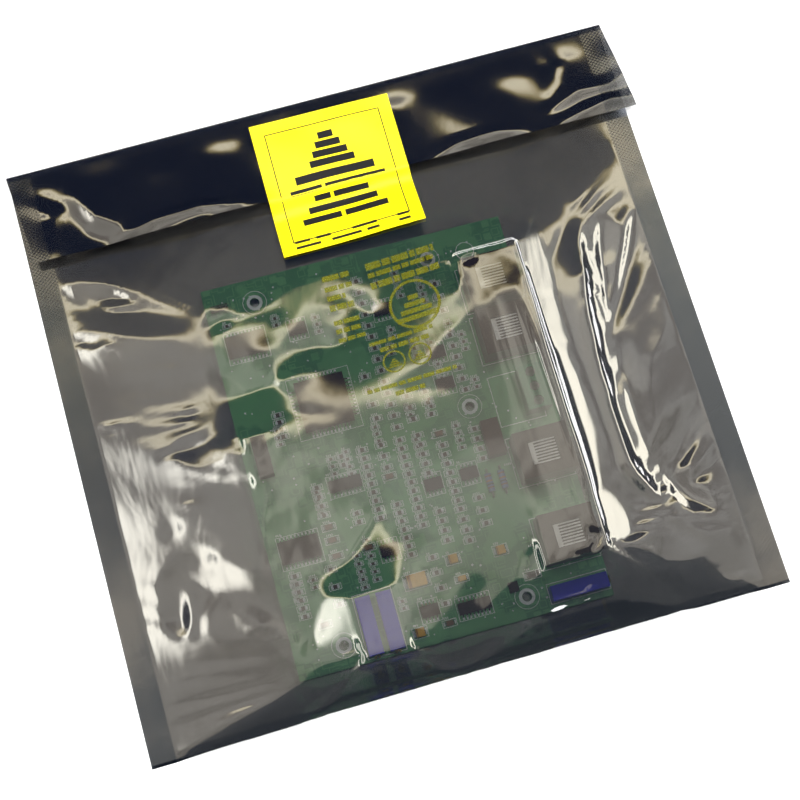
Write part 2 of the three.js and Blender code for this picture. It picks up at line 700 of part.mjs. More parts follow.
function bagGeometry() {
  const points = [];
  const triangles = [];
  const known = new Map();

  // The two inner layers share their vertices along the seals and along the bottom fold.
  function vertex(layer, row, x) {
    const shared = innerLayers.includes(layer) && (row === 0 || Math.abs(x) === sealX);
    const key = [shared ? "shared" : layer, row, x].join();
    if (!known.has(key)) {
      known.set(key, points.length / 3);
      points.push(...filmPoint(x, stations[row], layer));
    }
    return known.get(key);
  }

  function line(layer, row) {
    return columnsAt(layer, row).map((x) => ({ x, id: vertex(layer, row, x) }));
  }

  function triangle(a, b, c, outward) {
    if (outward) triangles.push(a, b, c);
    else triangles.push(a, c, b);
  }

  // Joins two lines of vertices, which may have different numbers of them.
  function strip(near, far, outward) {
    let i = 0;
    let j = 0;
    while (i < near.length - 1 || j < far.length - 1) {
      const nearFirst = j === far.length - 1 || (i < near.length - 1 && near[i + 1].x <= far[j + 1].x);
      if (nearFirst) {
        triangle(near[i].id, near[i + 1].id, far[j].id, outward);
        i += 1;
      } else {
        triangle(near[i].id, far[j + 1].id, far[j].id, outward);
        j += 1;
      }
    }
  }

  const last = stations.length - 1;
  for (let row = 0; row < last; row++) {
    strip(line(outerFront, row), line(outerFront, row + 1), true);
    strip(line(innerFront, row), line(innerFront, row + 1), false);
    strip(line(innerBack, row), line(innerBack, row + 1), true);
    strip(line(outerBack, row), line(outerBack, row + 1), false);
    for (const side of [-halfWidth, halfWidth]) {
      const front = [vertex(outerFront, row, side), vertex(outerFront, row + 1, side)];
      const back = [vertex(outerBack, row, side), vertex(outerBack, row + 1, side)];
      triangle(front[0], front[1], back[1], side < 0);
      triangle(front[0], back[1], back[0], side < 0);
    }
  }
  strip(line(outerBack, 0), line(outerFront, 0), true);

  // The mouth's rim, at the flap's free edge.
  const between = (layer) => line(layer, last).filter(({ x }) => inside(x));
  strip(between(outerFront), between(innerFront), true);
  strip(between(innerBack), between(outerBack), true);
  for (const side of [-1, 1]) {
    const ends = [side * halfWidth, side * sealX];
    const [frontEnd, frontSeal] = ends.map((x) => vertex(outerFront, last, x));
    const [backEnd, backSeal] = ends.map((x) => vertex(outerBack, last, x));
    const shared = vertex(innerFront, last, ends[1]);
    triangle(frontEnd, frontSeal, shared, side < 0);
    triangle(frontEnd, shared, backSeal, side < 0);
    triangle(frontEnd, backSeal, backEnd, side < 0);
  }
  return closedGeometry(points, triangles);
}

function closedGeometry(points, triangles) {
  const geometry = new THREE.BufferGeometry();
  geometry.setAttribute("position", new THREE.Float32BufferAttribute(points, 3));
  geometry.setIndex(triangles);
  geometry.computeVertexNormals();
  return geometry;
}

const bag = new THREE.Mesh(bagGeometry(), filmFinish);
bag.name = "shielding_bag";
part.add(bag);

// The label lies over the flap's free edge, half on the flap and half on the front film.
function flapRest(x, y) {
  const down = Math.min(Math.max(foldY - y, 0), flapLength - foldRadius);
  return y < flapEdgeY - bodyCell ? 0 : flapTop(x, down);
}

function labelUnderside(x, y) {
  const onFront = highest(frontTop, x, y, bodyCell / 2, bodyCell / 2);
  return labelGap + Math.max(onFront, highest(flapRest, x, y, 2 * bodyCell, bodyCell));
}

function labelGeometry() {
  const points = [];
  const triangles = [];
  const row = labelSteps + 1;
  const turn = radians(labelTurn);
  for (const layer of [0, 1]) {
    for (let j = 0; j <= labelSteps; j++) {
      for (let i = 0; i <= labelSteps; i++) {
        const across = (i / labelSteps - 0.5) * labelSide;
        const up = (j / labelSteps - 0.5) * labelSide;
        const x = labelX + across * Math.cos(turn) - up * Math.sin(turn);
        const y = bagLength - labelBelowTop + across * Math.sin(turn) + up * Math.cos(turn);
        points.push(x, y, labelUnderside(x, y) + layer * labelThickness);
      }
    }
  }
  const at = (i, j, layer) => layer * row * row + j * row + i;
  for (let j = 0; j < labelSteps; j++) {
    for (let i = 0; i < labelSteps; i++) {
      for (const layer of [0, 1]) {
        const [a, b] = [at(i, j, layer), at(i + 1, j, layer)];
        const [c, d] = [at(i + 1, j + 1, layer), at(i, j + 1, layer)];
        triangles.push(...(layer ? [a, b, c, a, c, d] : [a, c, b, a, d, c]));
      }
    }
  }
  for (let i = 0; i < labelSteps; i++) {
    const edges = [
      [[i, 0], [i + 1, 0]],
      [[labelSteps, i], [labelSteps, i + 1]],
      [[i + 1, labelSteps], [i, labelSteps]],
      [[0, i + 1], [0, i]],
    ];
    for (const [from, to] of edges) {
      const [a, b] = [at(...from, 0), at(...to, 0)];
      const [c, d] = [at(...to, 1), at(...from, 1)];
      triangles.push(a, b, c, a, c, d);
    }
  }
  return closedGeometry(points, triangles);
}

const label = new THREE.Mesh(labelGeometry(), labelFinish);
label.name = "closure_label";
part.add(label);

export default part;
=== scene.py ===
"""A static shielding bag, folded shut over a circuit board, dressed for its photograph."""
import math

import bpy
import numpy as np
from bpy.props import FloatProperty, FloatVectorProperty, IntProperty, PointerProperty
from mathutils import Matrix, Vector


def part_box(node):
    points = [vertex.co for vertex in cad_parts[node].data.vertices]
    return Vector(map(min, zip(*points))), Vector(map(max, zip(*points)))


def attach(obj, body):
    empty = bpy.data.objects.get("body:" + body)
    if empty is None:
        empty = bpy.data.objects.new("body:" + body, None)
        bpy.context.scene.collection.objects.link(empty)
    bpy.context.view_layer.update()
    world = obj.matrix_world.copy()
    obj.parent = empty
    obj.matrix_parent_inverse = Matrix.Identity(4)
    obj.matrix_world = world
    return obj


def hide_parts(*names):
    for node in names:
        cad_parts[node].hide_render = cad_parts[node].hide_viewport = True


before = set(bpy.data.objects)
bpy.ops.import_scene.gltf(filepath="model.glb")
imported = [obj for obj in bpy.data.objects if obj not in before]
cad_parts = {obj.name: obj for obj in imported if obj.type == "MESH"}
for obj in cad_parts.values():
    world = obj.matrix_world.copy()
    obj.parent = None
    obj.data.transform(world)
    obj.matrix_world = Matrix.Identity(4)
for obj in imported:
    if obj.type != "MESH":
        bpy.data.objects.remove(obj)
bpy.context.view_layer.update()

bl_info = {
    "name": "Shielding bag",
    "version": (1, 0, 0),
    "blender": (4, 5, 0),
    "location": "3D View > Sidebar > Shielding bag",
    "description": "Builds a metallised shielding bag with a circuit board inside, its label and its stage",
    "category": "Object",
}

MM = 0.001


def box_mm(node):
    """A node's lowest and highest corners, in millimetres."""
    return [np.array(corner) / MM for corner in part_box(node)]


# Sizes of the bag, in millimetres, as the solids have them.
BAG_LOW, BAG_HIGH = box_mm("shielding_bag")
HALF_WIDTH = -BAG_LOW[0]
BAG_LENGTH = BAG_HIGH[1]
FLAP_SHIFT = 3.4
BOARD_CORNER = (-56.3, 13.5)
BOARD_TURN = math.radians(-0.74)
BOARD_SIZE = (107.2, 137.3)
BOARD_TOP = box_mm("main_chip")[0][2]
BOARD_UNDERSIDE = BOARD_TOP - 1.6


class BagSizes(bpy.types.PropertyGroup):
    seal: FloatProperty(name="Seal", description="Width of each heat seal, mm", default=8.3)
    flap: FloatProperty(name="Flap", description="Length of the folded top, mm", default=34.6)
    fold_radius: FloatProperty(name="Fold radius", description="Radius of the top fold, mm", default=2.1)
    slack: FloatProperty(name="Slack", description="Extra length of the film over its drape", default=0.0015)
    cell: FloatProperty(name="Cell", description="Spacing of the film's mesh, mm", default=1.3)
    settle_frames: IntProperty(name="Settle", description="Frames of cloth simulation", default=24)


class FilmLook(bpy.types.PropertyGroup):
    metal: FloatVectorProperty(
        name="Metal", description="Colour of the metal layer", subtype="COLOR", default=(0.80, 0.785, 0.76))
    cover: FloatProperty(name="Cover", description="Share of light one layer of film stops", default=0.68)
    roughness: FloatProperty(name="Roughness", description="Roughness of the film", default=0.09)
    print_colour: FloatVectorProperty(
        name="Print", description="Colour of the printed marks", subtype="COLOR", default=(0.27, 0.26, 0.015))


class PartColours(bpy.types.PropertyGroup):
    label: FloatVectorProperty(
        name="Label", description="Paper of the label", subtype="COLOR", default=(0.86, 0.72, 0.004))
    ink: FloatVectorProperty(
        name="Ink", description="Printing on the label", subtype="COLOR", default=(0.012, 0.012, 0.012))
    mask: FloatVectorProperty(
        name="Mask", description="Solder mask of the board", subtype="COLOR", default=(0.13, 0.35, 0.17))
    trimmer: FloatVectorProperty(
        name="Trimmer", description="Trimmer bodies", subtype="COLOR", default=(0.03, 0.03, 0.62))
    tantalum: FloatVectorProperty(
        name="Tantalum", description="Tantalum capacitors", subtype="COLOR", default=(0.90, 0.50, 0.06))


class StageLook(bpy.types.PropertyGroup):
    lens: FloatProperty(name="Lens", description="Focal length on a 36 mm sensor, mm", default=68.37)
    floor: FloatProperty(name="Floor", description="Paleness of the floor", default=0.9)
    softbox: FloatProperty(name="Softbox", description="Strength of the bright panels", default=2.2)


def settings():
    return bpy.context.scene.shield_bag


class ShieldBag(bpy.types.PropertyGroup):
    sizes: PointerProperty(type=BagSizes)
    film: PointerProperty(type=FilmLook)
    colours: PointerProperty(type=PartColours)
    stage: PointerProperty(type=StageLook)


# Shader helpers

def new_material(name):
    material = bpy.data.materials.new(name)
    material.use_nodes = True
    tree = material.node_tree
    return material, tree, tree.nodes["Principled BSDF"]


def node(tree, kind, **values):
    made = tree.nodes.new(kind)
    for key, value in values.items():
        setattr(made, key, value)
    return made


def link(tree, source, target):
    tree.links.new(source, target)


def math_node(tree, operation, first, second=None, third=None, clamp=False):
    made = node(tree, "ShaderNodeMath", operation=operation, use_clamp=clamp)
    for socket, value in zip(made.inputs, (first, second, third)):
        if value is None:
            continue
        if isinstance(value, (int, float)):
            socket.default_value = value
        else:
            link(tree, value, socket)
    return made.outputs[0]


def smooth_step(tree, value, low, high):
    made = node(tree, "ShaderNodeMapRange", interpolation_type="SMOOTHSTEP")
    link(tree, value, made.inputs["Value"])
    made.inputs["From Min"].default_value = low
    made.inputs["From Max"].default_value = high
    return made.outputs["Result"]


def mix_colour(tree, factor, first, second):
    made = node(tree, "ShaderNodeMix", data_type="RGBA")
    for socket, value in ((made.inputs[0], factor), (made.inputs[6], first), (made.inputs[7], second)):
        if isinstance(value, (int, float)):
            socket.default_value = value
        elif hasattr(value, "links"):
            link(tree, value, socket)
        else:
            socket.default_value = (*value, 1)
    return made.outputs[2]


def noise(tree, vector, scale, detail=2.0, distortion=0.0):
    """A noise texture's value."""
    made = node(tree, "ShaderNodeTexNoise")
    made.inputs["Scale"].default_value = scale
    made.inputs["Detail"].default_value = detail
    made.inputs["Distortion"].default_value = distortion
    link(tree, vector, made.inputs["Vector"])
    return made.outputs["Fac"]


def bumped(tree, height, distance, strength=1.0, under=None):
    """A bumped normal, on top of another one where that is given."""
    made = node(tree, "ShaderNodeBump")
    made.inputs["Distance"].default_value = distance
    made.inputs["Strength"].default_value = strength
    link(tree, height, made.inputs["Height"])
    if under:
        link(tree, under, made.inputs["Normal"])
    return made.outputs["Normal"]


def tinted(tree, shade, colour):
    """A colour times a shade that varies round 1."""
    made = node(tree, "ShaderNodeVectorMath", operation="SCALE")
    made.inputs[0].default_value = colour
    link(tree, shade, made.inputs["Scale"])
    return made.outputs[0]


def object_place(tree):
    return node(tree, "ShaderNodeTexCoord").outputs["Object"]


def shader_group(name, inputs, outputs):
    """A shader node group with float, colour or vector sockets, returned with its two ends."""
    tree = bpy.data.node_groups.new(name, "ShaderNodeTree")
    kinds = {"float": "NodeSocketFloat", "colour": "NodeSocketColor", "vector": "NodeSocketVector"}
    for label, kind, default in inputs:
        socket = tree.interface.new_socket(label, in_out="INPUT", socket_type=kinds[kind])
        if default is not None:
            socket.default_value = default
    for label, kind in outputs:
        tree.interface.new_socket(label, in_out="OUTPUT", socket_type=kinds[kind])
    return tree, node(tree, "NodeGroupInput"), node(tree, "NodeGroupOutput")


def use_group(tree, group, **values):
    made = node(tree, "ShaderNodeGroup", node_tree=group)
    for label, value in values.items():
        socket = made.inputs[label.replace("_", " ")]
        if hasattr(value, "links"):
            link(tree, value, socket)
        else:
            socket.default_value = value
    return made


def grain_group():
    """Fine mottling: a value round 1 for colours, and a height for bumps."""
    if "Moulded grain" in bpy.data.node_groups:
        return bpy.data.node_groups["Moulded grain"]
    tree, ins, outs = shader_group(
        "Moulded grain",
        [("Scale", "float", 900.0), ("Contrast", "float", 0.15)],
        [("Shade", "float"), ("Height", "float")],
    )
    place = node(tree, "ShaderNodeTexCoord")
    fine = node(tree, "ShaderNodeTexNoise")
    fine.inputs["Detail"].default_value = 4.0
    link(tree, place.outputs["Object"], fine.inputs["Vector"])
    link(tree, ins.outputs["Scale"], fine.inputs["Scale"])
    spread = math_node(tree, "SUBTRACT", fine.outputs["Fac"], 0.5)
    shade = math_node(tree, "MULTIPLY_ADD", spread, ins.outputs["Contrast"], 1.0)
    link(tree, shade, outs.inputs["Shade"])
    link(tree, fine.outputs["Fac"], outs.inputs["Height"])
    return tree


def moulded(name, colour, roughness, metallic=0.0, scale=900.0, contrast=0.3, bump=0.00005):
    """A solid colour with fine grain in its shade, roughness and surface."""
    material, tree, shader = new_material(name)
    grain = use_group(tree, grain_group(), Scale=scale, Contrast=contrast)
    link(tree, tinted(tree, grain.outputs["Shade"], colour), shader.inputs["Base Color"])
    link(tree, math_node(tree, "MULTIPLY", grain.outputs["Shade"], roughness), shader.inputs["Roughness"])
    shader.inputs["Metallic"].default_value = metallic
    link(tree, bumped(tree, grain.outputs["Height"], bump, 0.6), shader.inputs["Normal"])
    return material


# Mesh helpers

def mesh_object(name, points, faces, material, smooth=False):
    """A piece from points in millimetres, which rides on the part and takes the given material."""
    mesh = bpy.data.meshes.new(name)
    mesh.from_pydata([tuple(float(c) * MM for c in p) for p in points], [], faces)
    mesh.materials.append(material)
    if smooth:
        mesh.polygons.foreach_set("use_smooth", [True] * len(mesh.polygons))
    mesh.update()
    piece = bpy.data.objects.new(name, mesh)
    bpy.context.scene.collection.objects.link(piece)
    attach(piece, "root")
    return piece


def grid_faces(across, along):
    """The quads of a grid of points that are listed row by row."""
    return [(j * across + i, j * across + i + 1, (j + 1) * across + i + 1, (j + 1) * across + i)
            for j in range(along - 1) for i in range(across - 1)]


def circle(x, y, radius, sides):
    turns = [2 * math.pi * i / sides for i in range(sides)]
    return [(x + radius * math.cos(turn), y + radius * math.sin(turn)) for turn in turns]


def on_board(x, y, z=0.0):
    """A place on the board, in its own millimetres from its lower left corner and its top face."""
    cos, sin = math.cos(BOARD_TURN), math.sin(BOARD_TURN)
    return (
        BOARD_CORNER[0] + cos * x - sin * y,
        BOARD_CORNER[1] + sin * x + cos * y,
        BOARD_TOP + z,
    )


class Collector:
    """Gathers closed blocks and strips in the board's own frame into one mesh."""

    def __init__(self, place=on_board):
        self.points, self.faces, self.place = [], [], place

    def add(self, corners, faces):
        start = len(self.points)
        self.points.extend(self.place(*corner) for corner in corners)
        self.faces.extend(tuple(start + i for i in face) for face in faces)

    def block(self, x0, x1, y0, y1, z0, z1, chamfer=0.0):
        """A block, with its upper edges chamfered when a chamfer is given."""
        c = chamfer
        ring = [(x0, y0), (x1, y0), (x1, y1), (x0, y1)]
        top = [(x0 + c, y0 + c), (x1 - c, y0 + c), (x1 - c, y1 - c), (x0 + c, y1 - c)]
        levels = [(ring, z0), (ring, z1 - c), (top, z1)] if c else [(ring, z0), (ring, z1)]
        corners = [(x, y, z) for outline, z in levels for x, y in outline]
        faces = [(3, 2, 1, 0)]
        for level in range(len(levels) - 1):
            base = 4 * level
            for i in range(4):
                j = (i + 1) % 4
                faces.append((base + i, base + j, base + 4 + j, base + 4 + i))
        last = 4 * (len(levels) - 1)
        faces.append((last, last + 1, last + 2, last + 3))
        self.add(corners, faces)

    def frame(self, x0, x1, y0, y1, line, z0, z1):
        """A rectangular outline of four thin bars."""
        self.block(x0, x1, y0, y0 + line, z0, z1)
        self.block(x0, x1, y1 - line, y1, z0, z1)
        self.block(x0, x0 + line, y0 + line, y1 - line, z0, z1)
        self.block(x1 - line, x1, y0 + line, y1 - line, z0, z1)

    def ring(self, x, y, inner, outer, z0, z1, sides=28):
        """A flat ring with a square section."""
        levels = ((inner, z0), (outer, z0), (outer, z1), (inner, z1))
        corners = [(*spot, z) for radius, z in levels for spot in circle(x, y, radius, sides)]
        faces = []
        for band in range(4):
            a, b = band * sides, ((band + 1) % 4) * sides
            for i in range(sides):
                j = (i + 1) % sides
                faces.append((a + i, a + j, b + j, b + i))
        self.add(corners, faces)

    def disc(self, x, y, radius, z0, z1, sides=12, crown=0.0):
        """A short cylinder, domed by crown."""
        levels = ((1.0, z0), (1.0, z1 - crown), (0.6, z1))
        corners = [(*spot, z) for share, z in levels for spot in circle(x, y, share * radius, sides)]
        faces = []
        for low in (0, sides):
            for i in range(sides):
                j = (i + 1) % sides
                faces.append((low + i, low + j, low + sides + j, low + sides + i))
        faces.append(tuple(reversed(range(sides))))
        faces.append(tuple(2 * sides + i for i in range(sides)))
        self.add(corners, faces)

    def build(self, name, material, slot):
        return mesh_object(name, self.points, self.faces, material)


# The film's shape. Heights are in millimetres above the floor, on arrays of X and Y.
# Folds that the film hangs from: points of X in hundredths from the middle to a seal, Y in hundredths from
# the bottom to the flap's edge, and height in millimetres over the back film.
FOLDS = [
    # The long blade right of the jacks: its two edges, the hollow between them and the foot beyond it.
    [(55, 75, 13.5), (69, 84, 8), (84, 89, 4), (96, 90.5, 1.5)],
    [(96, 90.5, 1.5), (82, 81, 6), (78, 76, 8), (75, 68, 10), (72, 60, 11), (70, 48, 11),
     (69, 35, 11.5), (69, 29.5, 12), (72, 25.5, 10.5), (80, 18, 6.5), (96, 12, 1.5)],
    [(66, 78, 8.6), (61, 73, 10.6), (60, 57, 11.2), (62, 46, 10.8), (65, 36, 10.6), (64, 28, 11.4),
     (74, 19, 6), (90, 9, 1.6)],
    [(97.5, 87, 0.7), (85.5, 79.5, 2), (81.5, 74, 2.4), (78.5, 67, 2.6), (75.5, 60, 2.8), (73.5, 48, 2.8),
     (72.5, 36, 2.8), (73, 31, 3), (76, 26.5, 2.8), (83, 19.5, 2), (97.5, 13.5, 0.6)],
    [(59, 80.5, 6.5), (71, 88.5, 3), (84, 92.5, 1.4), (95, 94, 0.6)],
    [(50, 27, 15), (60, 16, 10), (75, 8, 5), (96, 1.5, 0.8)],
    # The film hangs from jack to jack, highest between the second and the third.
    [(40, 76.5, 14.6), (40, 72, 15.3), (39, 57, 16.5), (39, 40, 16.3), (40, 17, 15.4)],
    [(50, 74.5, 15.0), (51, 57, 16.6), (51, 40, 16.3), (50, 17, 15.4)],
    # Folds out of the bag's upper left, from one point.
    [(-63, 89, 5.2), (-80, 92.5, 3), (-98, 95.5, 0.8)],
    [(-63, 89, 5.2), (-82, 85.5, 3), (-98, 82, 0.8)],
    [(-98, 89, 0.5), (-80, 89, 1.4)],
    [(-63, 89, 5.2), (-40, 85.5, 5.4), (-14, 82.5, 5.8), (0, 70.5, 6.2)],
    # The left side: a low ridge from the middle of the seal down to the corner, and a dent over it.
    [(-92, 44, 0.6), (-80, 28.5, 2.0), (-79, 21.5, 2.8), (-98, 2, 0.5)],
    [(-90, 33, 0.5), (-86, 22, 0.6)],
    [(-56, 46, 7.6), (-57, 38, 7.6), (-60, 29, 5.8), (-58, 16, 5.2)],
    [(-98, 1.5, 0.5), (-74, 5, 4.2), (-50, 9, 6.4), (-33, 10, 10.2)],
    # Over the board: a leaf-shaped rise, and a long slant at the lower left.
    [(-54, 68, 5.3), (-36, 70.5, 6.6), (-14, 66.5, 5.6)],
    [(-54, 62, 5.2), (-30, 64, 5.4)],
    [(-17, 34, 6.6), (-34, 24, 5.9), (-51, 14, 5.6)],
    # A small flame at the bottom.
    [(8, 15, 7.8), (5, 7, 5), (2, 1.5, 0.6)],
]
# Creases of the flap: points of X, distance from the top fold and height, then the flank, in millimetres.
FLAP_CREASES = [
    ([(-92, 4, 0.5), (-84, 22, 1.3), (-70, 34, 0.3)], 9),
    ([(-80, 31.5, 0.3), (-66, 28.5, 1.0), (-50, 28, 1.1), (-27, 31.5, 0.3)], 3.6),
    ([(32, 32, 0.2), (44, 29.6, 0.8), (58, 29.4, 0.9), (69, 31, 0.2)], 3.2),
    ([(78, 27, 0.2), (92, 21.5, 0.9), (103, 22.5, 0.8), (109, 20, 0.3)], 4.0),
    ([(74, 33, 0.2), (90, 30, 0.9), (101, 28, 1.2), (109, 29, 0.5)], 3.6),
    ([(86, 2, 0.2), (88, 10, 0.7), (83, 19, 0.2)], 4.5),
    ([(-107, 9, 0.3), (-98, 17, 0.9), (-101, 29, 0.3)], 5.0),
]
FILM_THICKNESS = 0.08
EMPTY_GAP = 0.4
# How far in from an edge the film comes to its full height, in millimetres.
EDGE_EASE = 8.4
# The steepest that the film leaves a piece of the contents: to its left, to its right, and lengthwise.
SPAN_SLOPES = (0.28, 0.45, 0.40)
# The steepest that it rises from an edge, how far it stays level first, and how far it settles in one step.
EDGE_SLOPE = 0.82
SPAN_START = 1.2
MOST_SETTLING = 1.2
CLOTH = {
    "vertex_group_mass": "held", "quality": 6, "mass": 0.0004, "bending_stiffness": 1.2, "bending_damping": 2,
    "tension_stiffness": 40, "compression_stiffness": 40, "shear_stiffness": 20,
    "tension_damping": 20, "compression_damping": 20, "shear_damping": 20,
}
RELAX_PASSES = 500
SOFTEN_PASSES = 3


def unit(values):
    return np.clip(values, 0.0, 1.0)


def neighbour_mean(grid):
    """Each inner value as the mean of the four round it, with the rim as it was."""
    mean = grid.copy()
    mean[1:-1, 1:-1] = (grid[2:, 1:-1] + grid[:-2, 1:-1] + grid[1:-1, 2:] + grid[1:-1, :-2]) / 4
    return mean


def crease_height(path, flank, x, y, sharpness=1.3):
    height = np.zeros_like(x)
    for (ax, ay, az), (bx, by, bz) in zip(path[:-1], path[1:]):
        dx, dy = bx - ax, by - ay
        along = unit(((x - ax) * dx + (y - ay) * dy) / (dx * dx + dy * dy))
        away = np.hypot(x - ax - along * dx, y - ay - along * dy) / flank
        height = np.maximum(height, (az + (bz - az) * along) * unit(1 - away) ** sharpness)
    return height


class FilmShape:
    """Where the film lies over the contents, and where the flap lies over the film."""

    def __init__(self, sizes):
        self.seal_x = HALF_WIDTH - sizes.seal
        self.fold_radius = sizes.fold_radius
        self.fold_y = BAG_LENGTH - sizes.fold_radius
        self.flap = sizes.flap
        self.flap_edge = BAG_LENGTH - sizes.flap
        self.margin = 2.0
        self.clearance = 0.45
        self.supports = []
        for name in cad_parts:
            if name not in ("shielding_bag", "closure_label"):
                self.supports.append((name, *box_mm(name)))
        rng = np.random.default_rng(11)
        self.fine = []
        for _ in range(120):
            x, y = rng.uniform(-98, 98), rng.uniform(4, 172)
            turn, length = rng.uniform(0, math.pi), rng.uniform(8, 38)
            free = x < -58 or y < 14 or y > 138
            rise = rng.uniform(0.25, 0.8) if free else rng.uniform(0.06, 0.24)
            dx, dy = math.cos(turn) * length / 2, math.sin(turn) * length / 2
            bend = rng.uniform(-3, 3)
            middle = (x - bend * dy / length, y + bend * dx / length, rise)
            path = [(x - dx, y - dy, 0.05), middle, (x + dx, y + dy, 0.05)]
            self.fine.append((path, rng.uniform(4.0, 11.0), rng.choice([-1.0, 1.0])))

    def tents(self, x, y):
        tent = np.zeros_like(x)
        for name, low, high in self.supports:
            x0, x1 = low[0] - self.margin, high[0] + self.margin
            y0, y1 = low[1] - self.margin, high[1] + self.margin
            left, right = x0 + self.seal_x, self.seal_x - x1
            below, above = y0, self.flap_edge - y1
            beside = np.where(x < x0, (x0 - x) / left, np.where(x > x1, (x - x1) / right, 0))
            beyond = np.where(y < y0, (y0 - y) / below, np.where(y > y1, (y - y1) / above, 0))
            share = unit(1 - np.hypot(beside, beyond))
            tent = np.maximum(tent, (high[2] - FILM_THICKNESS + self.clearance) * share ** 1.5)
        return tent

    def floor_under(self, x, y):
        """The contents themselves, which the film can't sink into."""
        top = np.zeros_like(x)
        for name, low, high in self.supports:
            inside = (x > low[0] - 0.8) & (x < high[0] + 0.8) & (y > low[1] - 0.8) & (y < high[1] + 0.8)
            top = np.where(inside, np.maximum(top, high[2] + 0.12), top)
        return top

    def spans(self, x, y, to_edge):
        """The least height of the film, which leaves each piece of the contents at a gentle slope."""
        to_left, to_right, lengthwise = SPAN_SLOPES
        least = np.zeros_like(x)
        for name, low, high in self.supports:
            beside = to_left * np.maximum(low[0] - x - SPAN_START, 0)
            beside += to_right * np.maximum(x - high[0] - SPAN_START, 0)
            beyond = lengthwise * np.maximum(np.maximum(low[1] - y, y - high[1]) - SPAN_START, 0)
            least = np.maximum(least, high[2] + 0.12 - np.hypot(beside, beyond))
        return np.minimum(least, EDGE_SLOPE * np.maximum(to_edge, 0))

    def gap(self, x, y):
        """The space between the two films, on a grid: hung from the folds and held off the contents."""
        to_edge = np.minimum(np.minimum(self.seal_x - np.abs(x), y), self.fold_y - y)
        empty = EMPTY_GAP * unit((self.seal_x - np.abs(x)) / EDGE_EASE)
        contents = np.maximum(self.floor_under(x, y), self.spans(x, y, to_edge))
        contents = np.where(y < self.flap_edge, contents, 0.0)
        held = (to_edge <= 0.0) | (y >= self.flap_edge)
        space = np.where(held, np.where(y >= self.flap_edge, empty, 0.0), self.tents(x, y))
        for line in FOLDS:
            for at, height in self.along(line, x, y):
                space[at] = np.maximum(height, contents[at])
                held[at] = True
        for _ in range(RELAX_PASSES):
            space = np.maximum(np.where(held, space, neighbour_mean(space)), contents * (to_edge > 0))
        fixed = (to_edge <= 0.0) | (y >= self.flap_edge)
        for _ in range(SOFTEN_PASSES):
            space = np.maximum(np.where(fixed, space, neighbour_mean(space)), contents * (to_edge > 0))
        fine = np.zeros_like(x)
        for path, flank, side in self.fine:
            fine += side * crease_height(path, flank, x, y, 1.6)
        space = np.maximum(space + fine * unit(to_edge / EDGE_EASE), contents * (to_edge > 0))
        return np.where(np.abs(x) < self.seal_x, np.maximum(space, 0.06 * unit(to_edge)), 0.0)

    def along(self, line, x, y):
        """The grid places that a fold runs through, each with the fold's height there."""
        xs, ys = x[0], y[:, 0]
        points = [(a / 100 * self.seal_x, b / 100 * self.flap_edge, h) for a, b, h in line]
        for (ax, ay, az), (bx, by, bz) in zip(points[:-1], points[1:]):
            for share in np.linspace(0, 1, int(math.hypot(bx - ax, by - ay) / 0.5) + 2):
                px, py = ax + (bx - ax) * share, ay + (by - ay) * share
                place = (int(np.argmin(np.abs(ys - py))), int(np.argmin(np.abs(xs - px))))
                yield place, az + (bz - az) * share

    def fold_gap(self, x):
        return EMPTY_GAP * unit((self.seal_x - np.abs(x)) / EDGE_EASE)

    def flap_rest(self, x, down, front_at):
        """Height of the flap's underside, where down is how far it has come from the fold."""
        shifted = x + FLAP_SHIFT * down / self.flap
        rest = np.zeros_like(x)
        for dx in np.linspace(-10, 10, 5):
            for dy in np.linspace(-8, 8, 5):
                below_fold = np.minimum(self.fold_y - down + dy, self.fold_y)
                rest = np.maximum(rest, front_at(shifted + dx, below_fold))
        rest = rest + 0.25
        start = 2 * self.fold_radius - 2 * FILM_THICKNESS - self.fold_gap(x)
        share = down / self.flap
        bow = 2.2 * unit(1 - np.abs(x + 50) / 30) + 1.4 * unit(1 - np.abs(x - 52) / 18)
        wave = 0.30 * np.sin(x / 9.5 + 2.0 * np.sin(down / 11.0)) + 0.20 * np.sin(x / 5.2 - down / 6.0 + 1.0)
        wave = wave * unit(share * 4)
        for path, flank in FLAP_CREASES:
            wave = wave + crease_height(path, flank, x, down)
        return np.maximum(rest, start) + bow * share ** 2 + (0.5 * share + wave) * unit(share * 3)


def film_columns(sizes):
    """Columns across the bag, with lines kept on the inner edges of the seals."""
    seal_x = HALF_WIDTH - sizes.seal
    edge = np.linspace(-HALF_WIDTH, -seal_x, 6)[:-1]
    middle = np.linspace(-seal_x, seal_x, int(2 * seal_x / sizes.cell) + 1)
    return np.concatenate([edge, middle, -edge[::-1]])


def film_rows(sizes):
    """Rows up the front film, from the bottom fold to the top fold."""
    top = BAG_LENGTH - sizes.fold_radius
    return np.linspace(0.0, top, int(top / sizes.cell) + 1)


